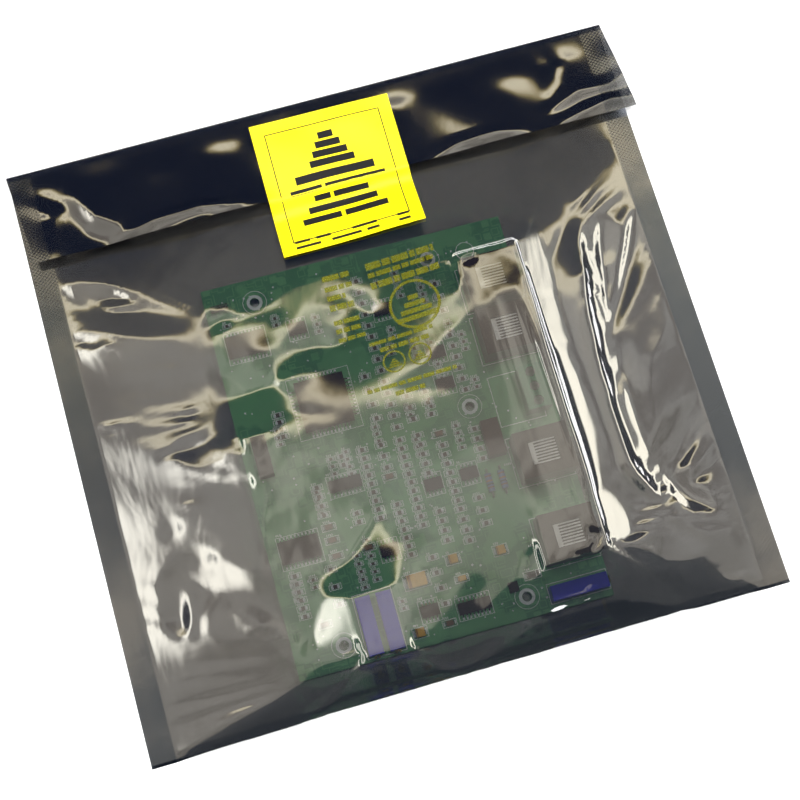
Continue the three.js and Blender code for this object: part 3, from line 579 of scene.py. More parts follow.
def settle(points, shape, sizes):
    """Lets the front film settle over the contents as cloth with a little slack, held at its edges."""
    ny, nx = points.shape[:2]
    scene = bpy.context.scene
    mesh = bpy.data.meshes.new("settling_film")
    mesh.from_pydata((points.reshape(-1, 3) * MM).tolist(), [], grid_faces(nx, ny))
    film = bpy.data.objects.new("settling_film", mesh)
    scene.collection.objects.link(film)
    x, y = points[..., 0], points[..., 1]
    held = (np.abs(x) > shape.seal_x - 0.5) | (y < 0.5) | (y > shape.flap_edge - 10)
    group = film.vertex_groups.new(name="held")
    group.add([int(i) for i in np.flatnonzero(held.reshape(-1))], 1.0, "REPLACE")
    blocks = Collector(place=lambda bx, by, bz: (bx, by, bz))
    for name, low, high in shape.supports:
        blocks.block(low[0] - 0.3, high[0] + 0.3, low[1] - 0.3, high[1] + 0.3, 0.0, high[2])
    solid = bpy.data.meshes.new("settling_contents")
    solid.from_pydata([tuple(float(c) * MM for c in p) for p in blocks.points], [], blocks.faces)
    contents = bpy.data.objects.new("settling_contents", solid)
    scene.collection.objects.link(contents)
    contents.modifiers.new("Collision", "COLLISION")
    contents.collision.thickness_outer = 0.001
    cloth = film.modifiers.new("Cloth", "CLOTH")
    for name, value in CLOTH.items():
        setattr(cloth.settings, name, value)
    cloth.settings.shrink_min = -sizes.slack
    cloth.collision_settings.distance_min = 0.001
    cloth.collision_settings.use_self_collision = False
    cloth.point_cache.frame_start = 1
    cloth.point_cache.frame_end = sizes.settle_frames
    for at in range(1, sizes.settle_frames + 1):
        scene.frame_set(at)
    done = film.evaluated_get(bpy.context.evaluated_depsgraph_get())
    moved = np.zeros(len(done.data.vertices) * 3, np.float32)
    done.data.vertices.foreach_get("co", moved)
    moved = moved.reshape(ny, nx, 3).astype(float) / MM
    for piece in (film, contents):
        bpy.data.objects.remove(piece, do_unlink=True)
    scene.frame_set(1)
    step = moved - points
    far = np.linalg.norm(step, axis=2, keepdims=True)
    step *= np.minimum(1.0, MOST_SETTLING / np.maximum(far, 1e-6))
    settled = points + step
    across, up = settled[..., 0], settled[..., 1]
    to_edge = np.minimum(shape.seal_x - np.abs(across), up)
    least = np.maximum(shape.floor_under(across, up), shape.spans(across, up, to_edge)) + 1.5 * FILM_THICKNESS
    settled[..., 2] = np.maximum(settled[..., 2], least)
    return np.where(held[..., None], points, settled)


class BAG_OT_film(bpy.types.Operator):
    """Makes the bag: one sheet of film, folded up from the bottom, sealed at the sides and shut at the top"""
    bl_idname = "shield_bag.film"
    bl_label = "Film"

    def execute(self, context):
        sizes = settings().sizes
        shape = FilmShape(sizes)
        columns, rows = film_columns(sizes), film_rows(sizes)
        x, y = np.meshgrid(columns, rows)
        front = np.stack([x, y, 1.5 * FILM_THICKNESS + shape.gap(x, y)], axis=-1)
        front = settle(front, shape, sizes)
        top_at = grid_height(front)
        gap = shape.fold_gap(columns)
        downs = np.linspace(0.0, sizes.flap - sizes.fold_radius, int(sizes.flap / sizes.cell) + 1)[1:]
        across, down = np.meshgrid(columns, downs)
        under = shape.flap_rest(across, down, top_at)
        flap_x = across + FLAP_SHIFT * down / sizes.flap
        flap_y = shape.fold_y - down
        lower = np.stack([flap_x, flap_y, under + 0.5 * FILM_THICKNESS], axis=-1)
        upper = np.stack([flap_x, flap_y, under + 1.5 * FILM_THICKNESS + shape.fold_gap(across)], axis=-1)
        angles = np.linspace(0, math.pi, 9)

        def arc(inward):
            radius = shape.fold_radius - inward
            return np.array([np.stack(
                [columns, shape.fold_y + radius * math.sin(a), shape.fold_radius - radius * math.cos(a)], -1)
                for a in angles])

        level = np.full_like(columns, 0.5 * FILM_THICKNESS)
        outer = arc(level)
        inner = arc(1.5 * FILM_THICKNESS + gap)
        back_rows = np.linspace(0.0, shape.fold_y, 48)[1:-1]
        bx, by = np.meshgrid(columns, back_rows)
        ripple = 0.12 * (1 + np.sin(bx / 13 + 0.5 * np.sin(by / 17))) * unit((shape.seal_x - np.abs(bx)) / 20)
        ripple = np.minimum(ripple, 0.3) * unit(by / 15) * unit((shape.fold_y - by) / 15)
        back = np.stack([bx, by, 0.5 * FILM_THICKNESS + ripple], axis=-1)
        bottom = np.array([np.stack([columns, np.zeros_like(columns), level], -1)])
        sheet = np.concatenate([upper[::-1], outer[::-1], back[::-1], bottom, front, inner[1:], lower])
        ny, nx = sheet.shape[:2]
        faces = grid_faces(nx, ny)
        film = mesh_object("film", sheet.reshape(-1, 3), faces, film_material(), smooth=True)
        mesh = film.data
        across_uv = np.tile(columns, ny)
        steps = np.linalg.norm(np.diff(sheet[:, nx // 2], axis=0), axis=1)
        along_uv = np.repeat(np.concatenate([[0.0], np.cumsum(steps)]), nx)
        uv = mesh.uv_layers.new(name="UVMap")
        loops = np.zeros(len(mesh.loops), np.int32)
        mesh.loops.foreach_get("vertex_index", loops)
        flat = np.stack([across_uv, along_uv], axis=1)[loops] / 100.0
        uv.data.foreach_set("uv", flat.astype(np.float32).reshape(-1))
        film["front_rows"] = [len(upper) + len(outer) + len(back) + 1, len(front)]
        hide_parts("shielding_bag")
        return {"FINISHED"}


def grid_height(points):
    """The height of a grid of points whose columns and rows run close to X and Y, as a function."""
    xs, ys, heights = points[0, :, 0], points[:, 0, 1], points[..., 2]

    def at(x, y):
        i = np.clip(np.searchsorted(xs, x) - 1, 0, len(xs) - 2)
        j = np.clip(np.searchsorted(ys, y) - 1, 0, len(ys) - 2)
        u = unit((x - xs[i]) / (xs[i + 1] - xs[i]))
        v = unit((y - ys[j]) / (ys[j + 1] - ys[j]))
        near = heights[j, i] * (1 - u) + heights[j, i + 1] * u
        far = heights[j + 1, i] * (1 - u) + heights[j + 1, i + 1] * u
        inside = np.abs(x) <= HALF_WIDTH
        return np.where(inside, near * (1 - v) + far * v + 0.5 * FILM_THICKNESS, 0.0)

    return at


def film_grid():
    """The finished film's vertices, as rows of points in millimetres, and its front rows."""
    film = bpy.data.objects["film"]
    points = np.zeros(len(film.data.vertices) * 3, np.float32)
    film.data.vertices.foreach_get("co", points)
    nx = len(film_columns(settings().sizes))
    sheet = points.reshape(-1, nx, 3).astype(float) / MM
    start, count = film["front_rows"]
    return sheet, sheet[start:start + count]


def film_material():
    look = settings().film
    material, tree, shader = new_material("Metallised film")
    place = object_place(tree)
    # Fine ripples of the film, long in one direction where it was pulled.
    stretch = node(tree, "ShaderNodeMapping")
    stretch.inputs["Scale"].default_value = (1.0, 0.45, 1.0)
    link(tree, place, stretch.inputs["Vector"])
    ripples = noise(tree, stretch.outputs["Vector"], 55.0, 3.0, 0.4)
    # Rows of small dimples pressed into the seals.
    apart = node(tree, "ShaderNodeSeparateXYZ")
    link(tree, place, apart.inputs["Vector"])
    from_middle = math_node(tree, "ABSOLUTE", apart.outputs["X"])
    seal_x = (HALF_WIDTH - settings().sizes.seal) * MM
    on_seal = smooth_step(tree, from_middle, seal_x - 0.0004, seal_x + 0.0004)
    knurl_x = math_node(tree, "SINE", math_node(tree, "MULTIPLY", apart.outputs["X"], 2 * math.pi / 0.0016))
    knurl_y = math_node(tree, "SINE", math_node(tree, "MULTIPLY", apart.outputs["Y"], 2 * math.pi / 0.0013))
    knurl = math_node(tree, "MULTIPLY", math_node(tree, "MULTIPLY", knurl_x, knurl_y), on_seal)
    soft = bumped(tree, ripples, 0.0005, 0.35)
    link(tree, bumped(tree, knurl, 0.000008, under=soft), shader.inputs["Normal"])
    # The metal layer is a little uneven, and hides more when seen edge on.
    patches = noise(tree, place, 14.0, 5.0)
    warm = tuple(look.metal)
    cool = tuple(c * s for c, s in zip(warm, (0.90, 0.94, 1.02)))
    metal = mix_colour(tree, patches, cool, warm)
    # On the seals the metal's colour is made darker and bluer, in patches.
    darker_seal_metal = tuple(c * s for c, s in zip(warm, (0.46, 0.52, 0.62)))
    seal_darkening = math_node(tree, "MULTIPLY", on_seal, smooth_step(tree, patches, 0.62, 0.44))
    link(tree, mix_colour(tree, seal_darkening, metal, darker_seal_metal), shader.inputs["Base Color"])
    facing = node(tree, "ShaderNodeLayerWeight")
    facing.inputs["Blend"].default_value = 0.35
    cover = math_node(tree, "MULTIPLY_ADD", patches, 0.08, look.cover - 0.04)
    cover = math_node(tree, "ADD", cover, math_node(tree, "MULTIPLY", on_seal, 0.05))
    edge = math_node(tree, "MULTIPLY", facing.outputs["Fresnel"], 0.5)
    link(tree, math_node(tree, "ADD", cover, edge, clamp=True), shader.inputs["Alpha"])
    rough = math_node(tree, "MULTIPLY_ADD", ripples, 0.08, look.roughness - 0.04)
    rough = math_node(tree, "MULTIPLY_ADD", on_seal, 0.08, rough)
    link(tree, rough, shader.inputs["Roughness"])
    shader.inputs["Metallic"].default_value = 1.0
    material.use_backface_culling = False
    return material


# The label, over the flap's free edge: half on the flap and half on the front film.
LABEL_SIDE = 50.8
LABEL_PLACE = (2.3, BAG_LENGTH - 31.3)
LABEL_TURN = math.radians(-0.66)


def label_place(across, up):
    """X and Y of a place on the label, measured from its middle."""
    cos, sin = math.cos(LABEL_TURN), math.sin(LABEL_TURN)
    return LABEL_PLACE[0] + across * cos - up * sin, LABEL_PLACE[1] + across * sin + up * cos


def label_surface():
    """The height of the label's underside over the flap and the film, as a function of its own place."""
    sizes = settings().sizes
    sheet, front = film_grid()
    front_at = grid_height(front)
    flap_rows = sheet[:int(sizes.flap / sizes.cell)][::-1]
    flap_rows = flap_rows[np.argsort(flap_rows[:, 0, 1])]
    flap_at = grid_height(flap_rows)
    edge = BAG_LENGTH - sizes.flap

    def at(across, up):
        x, y = label_place(across, up)
        rest = np.zeros_like(x)
        for dx in (-2.0, 0.0, 2.0):
            for dy in (-2.0, 0.0, 2.0):
                rest = np.maximum(rest, front_at(x + dx, y + dy))
        over = flap_at(x, np.maximum(y, edge + 0.4))
        sag = np.where(y > edge - 0.5, 1.0, unit(1 - (edge - 0.5 - y) / 16.0) ** 1.6)
        return np.maximum(rest + 0.1, over * sag + 0.05)

    return at


def smoothed(heights, passes):
    """Heights evened out without sinking below where they began."""
    for _ in range(passes):
        padded = np.pad(heights, 1, mode="edge")
        mean = (padded[:-2, 1:-1] + padded[2:, 1:-1] + padded[1:-1, :-2] + padded[1:-1, 2:]) / 4
        heights = np.maximum(heights, mean)
    return heights


class BAG_OT_label(bpy.types.Operator):
    """Makes the paper label and its printing"""
    bl_idname = "shield_bag.label"
    bl_label = "Label"

    def execute(self, context):
        colours = settings().colours
        under = label_surface()
        count = 64
        steps = np.linspace(-LABEL_SIDE / 2, LABEL_SIDE / 2, count)
        across, up = np.meshgrid(steps, steps)
        heights = smoothed(under(across, up), 6)
        x, y = label_place(across, up)
        points, faces = [], []
        for rise in (0.0, 0.1):
            points.extend(np.stack([x, y, heights + rise], axis=-1).reshape(-1, 3).tolist())
        size = count * count
        for j in range(count - 1):
            for i in range(count - 1):
                a = j * count + i
                faces.append((size + a, size + a + 1, size + a + count + 1, size + a + count))
                faces.append((a, a + count, a + count + 1, a + 1))
        rim = [j for j in range(count)]
        rim += [j * count + count - 1 for j in range(1, count)]
        rim += [(count - 1) * count + i for i in range(count - 2, -1, -1)]
        rim += [j * count for j in range(count - 2, 0, -1)]
        for a, b in zip(rim, rim[1:] + rim[:1]):
            faces.append((a, b, size + b, size + a))
        paper = moulded("Label paper", tuple(colours.label), 0.38, scale=1500.0, contrast=0.05, bump=0.00001)
        label = mesh_object("label", points, faces, paper, smooth=True)
        label.data.set_sharp_from_angle(angle=math.radians(50))
        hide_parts("closure_label")

        def top(a, u):
            i = np.clip((a + LABEL_SIDE / 2) / LABEL_SIDE * (count - 1), 0, count - 1.001)
            j = np.clip((u + LABEL_SIDE / 2) / LABEL_SIDE * (count - 1), 0, count - 1.001)
            i0, j0 = int(i), int(j)
            fi, fj = i - i0, j - j0
            near = heights[j0, i0] * (1 - fi) + heights[j0, i0 + 1] * fi
            far = heights[j0 + 1, i0] * (1 - fi) + heights[j0 + 1, i0 + 1] * fi
            return near * (1 - fj) + far * fj + 0.1

        def place(a, u, z):
            px, py = label_place(a, u)
            return px, py, top(a, u) + 0.03 + z

        ink = PrintSheet(place)
        half = LABEL_SIDE / 2 - 4.4
        ink.frame(-half, half, -half, half, 0.4)
        # A stack of plain bars, widening downwards, in place of a symbol.
        rows = ((5.4, 14.6, 17.2), (9.0, 11.2, 13.8), (12.6, 7.8, 10.4), (16.2, 4.4, 7.0))
        for row, (width, low, high) in enumerate(rows):
            ink.bar(-width / 2, width / 2, low, high)
        # Lines of text as plain bars.
        for low, high, words in (
            (-0.4, 2.6, ((-14.5, 14.0),)),
            (-4.0, -2.1, ((-17.4, -6.0), (-4.8, 17.0))),
            (-7.3, -5.4, ((-9.6, -3.8), (-2.6, 10.0))),
            (-11.3, -8.9, ((-12.6, 12.2),)),
            (-15.3, -12.9, ((-15.6, -1.8), (-0.4, 15.0))),
        ):
            for start, end in words:
                ink.bar(start, end, low, high)
        for low, start, end in (
            (-19.4, -20.4, -15.0), (-19.4, -12.8, -7.6), (-19.4, 0.2, 9.0), (-19.4, 16.4, 20.6),
            (-21.6, -20.4, -11.6), (-21.6, -7.6, 3.0), (-21.6, 5.0, 9.4), (-21.6, 16.4, 20.6),
        ):
            ink.bar(start, end, low - 2.0, low - 1.0)
        black = moulded("Label ink", tuple(colours.ink), 0.45, scale=2500.0, contrast=0.2, bump=0.000004)
        ink.build("label_print", black, "label")
        return {"FINISHED"}


class PrintSheet(Collector):
    """Flat printing that follows the surface under it, in small cells."""

    cell = 1.2

    def quad_grid(self, corner_at, across, along):
        nu, nv = max(1, math.ceil(across / self.cell)), max(1, math.ceil(along / self.cell))
        corners = [(*corner_at(i / nu, j / nv), 0.0) for j in range(nv + 1) for i in range(nu + 1)]
        self.add(corners, grid_faces(nu + 1, nv + 1))

    def bar(self, x0, x1, y0, y1):
        self.quad_grid(lambda u, v: (x0 + (x1 - x0) * u, y0 + (y1 - y0) * v), x1 - x0, y1 - y0)

    def line(self, start, end, width):
        (ax, ay), (bx, by) = start, end
        length = math.hypot(bx - ax, by - ay)
        nx, ny = -(by - ay) / length * width / 2, (bx - ax) / length * width / 2
        self.quad_grid(
            lambda u, v: (ax + (bx - ax) * u + nx * (2 * v - 1), ay + (by - ay) * u + ny * (2 * v - 1)),
            length, width)

    def frame(self, x0, x1, y0, y1, width):
        self.bar(x0, x1, y0, y0 + width)
        self.bar(x0, x1, y1 - width, y1)
        self.bar(x0, x0 + width, y0 + width, y1 - width)
        self.bar(x1 - width, x1, y0 + width, y1 - width)

    def ring(self, x, y, inner, outer, z0=0.0, z1=0.0, sides=36):
        corners = [(*spot, 0.0) for radius in (inner, outer) for spot in circle(x, y, radius, sides)]
        faces = [(i, (i + 1) % sides, sides + (i + 1) % sides, sides + i) for i in range(sides)]
        self.add(corners, [tuple(reversed(face)) for face in faces])


# The printing on the film, in the board's millimetres: bars, rings and a stack in place of words.
PRINT_BARS = [
    (57, 81, 128.2, 130.8), (57, 80, 125.2, 127.0), (57, 81, 121.0, 123.4),
    (41.5, 51, 128.4, 130.4), (41.5, 51, 124.6, 126.4), (41.5, 48, 121.2, 123.0), (41.5, 50, 117.4, 119.6),
    (41.5, 51, 112.2, 113.9), (41.5, 51, 109.1, 110.8), (41.5, 51, 105.9, 107.4),
    (51, 73, 101.4, 102.8), (54, 71, 98.4, 100.0), (46, 77, 85.4, 86.8), (55, 66, 82.2, 83.8),
]
PRINT_RINGS = [(69.5, 111.5, 7.8, 8.8), (57.5, 94, 3.3, 3.9), (66.5, 94, 3.3, 3.9)]
PRINT_STACKS = [(69.5, 107.2, 7.2, 9.6), (57.5, 92.4, 2.4, 3.2), (66.5, 92.4, 2.4, 3.2)]


def front_surface():
    """The height of the front film's outside, as a function of X and Y."""
    return grid_height(film_grid()[1])


class BAG_OT_print(bpy.types.Operator):
    """Prints the front film"""
    bl_idname = "shield_bag.film_print"
    bl_label = "Film print"

    def execute(self, context):
        film_at = front_surface()

        def place(x, y, z):
            px, py, _ = on_board(x, y)
            return px, py, float(film_at(np.array(px), np.array(py))) + 0.04 + z

        ink = PrintSheet(place)
        for bar in PRINT_BARS:
            x0, x1, y0, y1 = bar
            # A line of print is a row of short bars, as long as words are.
            rng = np.random.default_rng(int(10 * y0 + x0))
            x = x0
            while x < x1 - 0.6:
                word = min(float(rng.uniform(1.8, 6.0)), x1 - x)
                ink.bar(x, x + word, y0, y1)
                x += word + 0.5
        for x, y, inner, outer in PRINT_RINGS:
            ink.ring(x, y, inner, outer)
        for x, y, half, height in PRINT_STACKS:
            rows = 4
            for row in range(rows):
                wide = half * (1 - row / rows)
                low = y + height * row / rows - height / 8
                ink.bar(x - wide, x + wide, low, low + 0.72 * height / rows)
        material, tree, shader = new_material("Film print ink")
        grain = use_group(tree, grain_group(), Scale=1400.0, Contrast=0.5)
        shade = grain.outputs["Shade"]
        link(tree, tinted(tree, shade, tuple(settings().film.print_colour)), shader.inputs["Base Color"])
        link(tree, math_node(tree, "MULTIPLY", shade, 0.30), shader.inputs["Roughness"])
        link(tree, math_node(tree, "MULTIPLY", shade, 0.62, clamp=True), shader.inputs["Alpha"])
        shader.inputs["Metallic"].default_value = 0.55
        ink.build("film_print", material, "film")
        return {"FINISHED"}


# The board's small parts, in hundredths of its width and length: across, lowest, highest and count.
PASSIVE_COLUMNS = [
    (6.5, 14.5, 24.5, 6), (17.7, 15.2, 23.7, 3), (20.0, 37.0, 44.0, 4), (30.0, 33.2, 35.4, 2),
    (30.0, 47.8, 50.0, 2), (36.8, 32.8, 50.2, 9), (42.9, 22.2, 34.9, 7), (42.9, 44.4, 50.2, 3),
    (49.0, 28.4, 50.2, 11), (49.0, 8.7, 20.2, 4), (55.0, 23.3, 30.6, 4), (55.0, 40.4, 50.2, 5),
    (61.6, 21.8, 29.8, 4), (61.6, 32.0, 46.2, 7), (68.1, 24.8, 31.3, 3), (72.8, 40.4, 48.1, 4),
    (49.4, 53.5, 92.5, 14), (55.0, 54.5, 60.5, 3), (61.0, 54.5, 60.5, 3), (73.7, 58.3, 72.8, 6),
    (73.7, 79.5, 86.7, 3), (14.0, 58.5, 64.1, 4), (43.9, 57.0, 68.0, 4),
]
# Smaller parts that the solids leave out, in the board's millimetres: X, lowest and highest Y, and pitch.
SMALL_COLUMNS = [
    (6.2, 26.0, 33.4, 2.5), (12.5, 28.4, 31.0, 2.5), (28.5, 24.0, 36.5, 2.7), (33.0, 25.5, 40.0, 2.7),
    (21.0, 51.5, 60.0, 2.5), (34.0, 62.0, 70.0, 2.6), (28.5, 63.5, 70.0, 2.6), (45.8, 70.5, 76.0, 2.5),
    (58.0, 62.5, 70.0, 2.6), (72.3, 61.0, 69.0, 2.6), (58.0, 99.0, 103.0, 2.2), (66.0, 96.0, 103.0, 2.6),
    (72.0, 96.5, 99.5, 2.6), (83.0, 94.0, 101.0, 2.6), (79.5, 101.5, 106.0, 2.6), (66.0, 77.5, 80.5, 2.6),
    (60.0, 104.5, 107.5, 2.6), (36.0, 113.0, 119.0, 2.6), (22.5, 119.0, 121.5, 2.4), (6.0, 123.0, 123.5, 2.6),
    (66.5, 118.0, 127.0, 2.8), (74.0, 114.0, 124.0, 2.6), (60.0, 124.5, 127.0, 2.6), (13.5, 78.0, 84.0, 2.4),
    (39.0, 14.0, 17.0, 2.4), (72.3, 86.0, 92.0, 2.6), (83.0, 80.0, 84.0, 2.6), (58.5, 76.5, 79.5, 2.6),
]
JACK_ROWS = (83.0, 69.3, 37.1, 16.4)
HOLES = ((15.7, 5.5), (73.9, 5.1), (73.5, 53.9), (16.1, 93.8), (73.7, 93.5))
# Chips with leads: node, half the body across X, half across Y, and leads in a row.
CHIPS = {
    "main_chip": (8.5, 8.5, 11),
    "wide_chip_upper": (6.8, 3.75, 10),
    "wide_chip_lower": (6.8, 3.75, 10),
    "logic_chip_1": (5.5, 1.95, 8),
    "logic_chip_2": (5.5, 1.95, 8),
    **{"amplifier_" + str(i): (3.0, 1.95, 4) for i in range(1, 9)},
}


LEAD_COLOUR = (0.72, 0.72, 0.70)
# A resistor: half its body, the length its rings are spread over, its colour, and where each ring starts.
RESISTOR_HALF = 3.1
RESISTOR_SPREAD = 6.3
RESISTOR_BODY = (0.16, 0.24, 0.42)
RESISTOR_RINGS = ((0.18, (0.25, 0.05, 0.02)), (0.36, (0.02, 0.02, 0.02)), (0.54, (0.5, 0.2, 0.02)),
                  (0.80, (0.3, 0.06, 0.02)))


def hundredths(across, up):
    return across / 100 * BOARD_SIZE[0], up / 100 * BOARD_SIZE[1]


def middle_on_board(name):
    """A node's middle, in the board's own millimetres."""
    low, high = box_mm(name)
    x, y = (low[0] + high[0]) / 2 - BOARD_CORNER[0], (low[1] + high[1]) / 2 - BOARD_CORNER[1]
    cos, sin = math.cos(-BOARD_TURN), math.sin(-BOARD_TURN)
    return cos * x - sin * y, sin * x + cos * y


def passive_places():
    for across, low, high, count in PASSIVE_COLUMNS:
        for i in range(count):
            yield hundredths(across, low + (high - low) * i / (count - 1))


def small_places():
    for x, low, high, pitch in SMALL_COLUMNS:
        count = max(1, int((high - low) / pitch) + 1)
        for i in range(count):
            yield x, low + i * pitch


def board_material():
    """Solder mask with traces under it, ceramic parts above its face and solder below it."""
    colours = settings().colours
    material, tree, shader = new_material("Solder mask")
    place = object_place(tree)
    apart = node(tree, "ShaderNodeSeparateXYZ")
    link(tree, place, apart.inputs["Vector"])
    cells = node(tree, "ShaderNodeTexVoronoi", distance="CHEBYCHEV", feature="F1")
    cells.inputs["Scale"].default_value = 260.0
    cells.inputs["Randomness"].default_value = 0.75
    link(tree, place, cells.inputs["Vector"])
    lanes = math_node(tree, "SINE", math_node(tree, "MULTIPLY", cells.outputs["Distance"], 26.0))
    traces = math_node(tree, "MULTIPLY", smooth_step(tree, lanes, 0.25, 0.65), 0.55)
    ground = math_node(tree, "MULTIPLY", smooth_step(tree, noise(tree, place, 60.0), 0.50, 0.54), 0.5)
    copper = math_node(tree, "MAXIMUM", traces, ground)
    mask = tuple(colours.mask)
    over_copper = (mask[0] * 1.8 + 0.02, mask[1] * 1.7, mask[2] * 1.5)
    colour = mix_colour(tree, copper, mask, over_copper)
    height = apart.outputs["Z"]
    raised = smooth_step(tree, height, (BOARD_TOP + 0.02) * MM, (BOARD_TOP + 0.06) * MM)
    colour = mix_colour(tree, raised, colour, (0.16, 0.11, 0.085))
    below = smooth_step(tree, height, (BOARD_UNDERSIDE - 0.02) * MM, (BOARD_UNDERSIDE - 0.06) * MM)
    colour = mix_colour(tree, below, colour, (0.62, 0.62, 0.60))
    link(tree, colour, shader.inputs["Base Color"])
    link(tree, below, shader.inputs["Metallic"])
    grain = use_group(tree, grain_group(), Scale=1300.0, Contrast=0.25)
    link(tree, math_node(tree, "MULTIPLY", grain.outputs["Shade"], 0.36), shader.inputs["Roughness"])
    link(tree, bumped(tree, copper, 0.00004), shader.inputs["Normal"])
    return material


def footprint_group():
    """1 on a part's moulded body and 0 on its leads, from its middle, turn and half sizes in metres."""
    if "Body footprint" in bpy.data.node_groups:
        return bpy.data.node_groups["Body footprint"]
    tree, ins, outs = shader_group(
        "Body footprint",
        [("Middle", "vector", None), ("Turn", "vector", None), ("Half", "vector", None)],
        [("Body", "float"), ("Across", "float"), ("Up", "float")],
    )
    turned = node(tree, "ShaderNodeMapping", vector_type="TEXTURE")
    link(tree, object_place(tree), turned.inputs["Vector"])
    link(tree, ins.outputs["Middle"], turned.inputs["Location"])
    link(tree, ins.outputs["Turn"], turned.inputs["Rotation"])
    here = node(tree, "ShaderNodeSeparateXYZ")
    link(tree, turned.outputs["Vector"], here.inputs["Vector"])
    half = node(tree, "ShaderNodeSeparateXYZ")
    link(tree, ins.outputs["Half"], half.inputs["Vector"])
    sides = []
    for axis in ("X", "Y"):
        reach = math_node(tree, "ABSOLUTE", here.outputs[axis])
        limit = math_node(tree, "ADD", half.outputs[axis], 0.00004)
        sides.append(math_node(tree, "LESS_THAN", reach, limit))
    link(tree, math_node(tree, "MULTIPLY", *sides), outs.inputs["Body"])
    link(tree, here.outputs["X"], outs.inputs["Across"])
    link(tree, here.outputs["Y"], outs.inputs["Up"])
    return tree


def footprint_of(tree, name, half_x, half_y):
    """A node's footprint, from the middle of its box and its body's half sizes in millimetres."""
    low, high = box_mm(name)
    where = use_group(tree, footprint_group())
    where.inputs["Middle"].default_value = [(a + b) / 2 * MM for a, b in zip(low, high)]
    where.inputs["Turn"].default_value = (0.0, 0.0, BOARD_TURN)
    where.inputs["Half"].default_value = (half_x * MM, half_y * MM, 1.0)
    return where


def leaded_material(name, node_name, half_x, half_y, body, mark=None):
    """A moulded body with bright leads. A mark is a band across the body: start, end and colour."""
    material, tree, shader = new_material(name)
    where = footprint_of(tree, node_name, half_x, half_y)
    grain = use_group(tree, grain_group(), Scale=1600.0, Contrast=0.5)
    colour = tinted(tree, grain.outputs["Shade"], body)
    if mark:
        start, end, ink = mark
        rise = math_node(tree, "GREATER_THAN", where.outputs["Across"], start * MM)
        fall = math_node(tree, "LESS_THAN", where.outputs["Across"], end * MM)
        colour = mix_colour(tree, math_node(tree, "MULTIPLY", rise, fall), colour, ink)
    link(tree, mix_colour(tree, where.outputs["Body"], LEAD_COLOUR, colour), shader.inputs["Base Color"])
    link(tree, math_node(tree, "SUBTRACT", 1.0, where.outputs["Body"]), shader.inputs["Metallic"])
    rough = math_node(tree, "MULTIPLY_ADD", where.outputs["Body"], 0.22, 0.26)
    link(tree, math_node(tree, "MULTIPLY", rough, grain.outputs["Shade"]), shader.inputs["Roughness"])
    link(tree, bumped(tree, grain.outputs["Height"], 0.00003), shader.inputs["Normal"])
    return material


def resistor_material(name, node_name):
    """A blue body with coloured rings, and bright wires."""
    material, tree, shader = new_material(name)
    where = footprint_of(tree, node_name, 2.0, RESISTOR_HALF)
    rings = node(tree, "ShaderNodeValToRGB")
    rings.color_ramp.interpolation = "CONSTANT"
    for at, colour in RESISTOR_RINGS:
        rings.color_ramp.elements.new(at).color = (*colour, 1)
        rings.color_ramp.elements.new(at + 0.08).color = (*RESISTOR_BODY, 1)
    rings.color_ramp.elements[0].color = (*RESISTOR_BODY, 1)
    rings.color_ramp.elements[-1].color = (*RESISTOR_BODY, 1)
    along = math_node(tree, "MULTIPLY_ADD", where.outputs["Up"], 1 / (RESISTOR_SPREAD * MM), 0.5)
    link(tree, along, rings.inputs["Fac"])
    colour = mix_colour(tree, where.outputs["Body"], LEAD_COLOUR, rings.outputs["Color"])
    link(tree, colour, shader.inputs["Base Color"])
    link(tree, math_node(tree, "SUBTRACT", 1.0, where.outputs["Body"]), shader.inputs["Metallic"])
    grain = use_group(tree, grain_group(), Scale=1600.0, Contrast=0.4)
    link(tree, math_node(tree, "MULTIPLY", grain.outputs["Shade"], 0.3), shader.inputs["Roughness"])
    return material


def wear(name, material):
    """Gives a CAD node its material."""
    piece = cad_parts[name]
    if piece.material_slots:
        for slot in piece.material_slots:
            slot.material = material
    else:
        piece.data.materials.append(material)


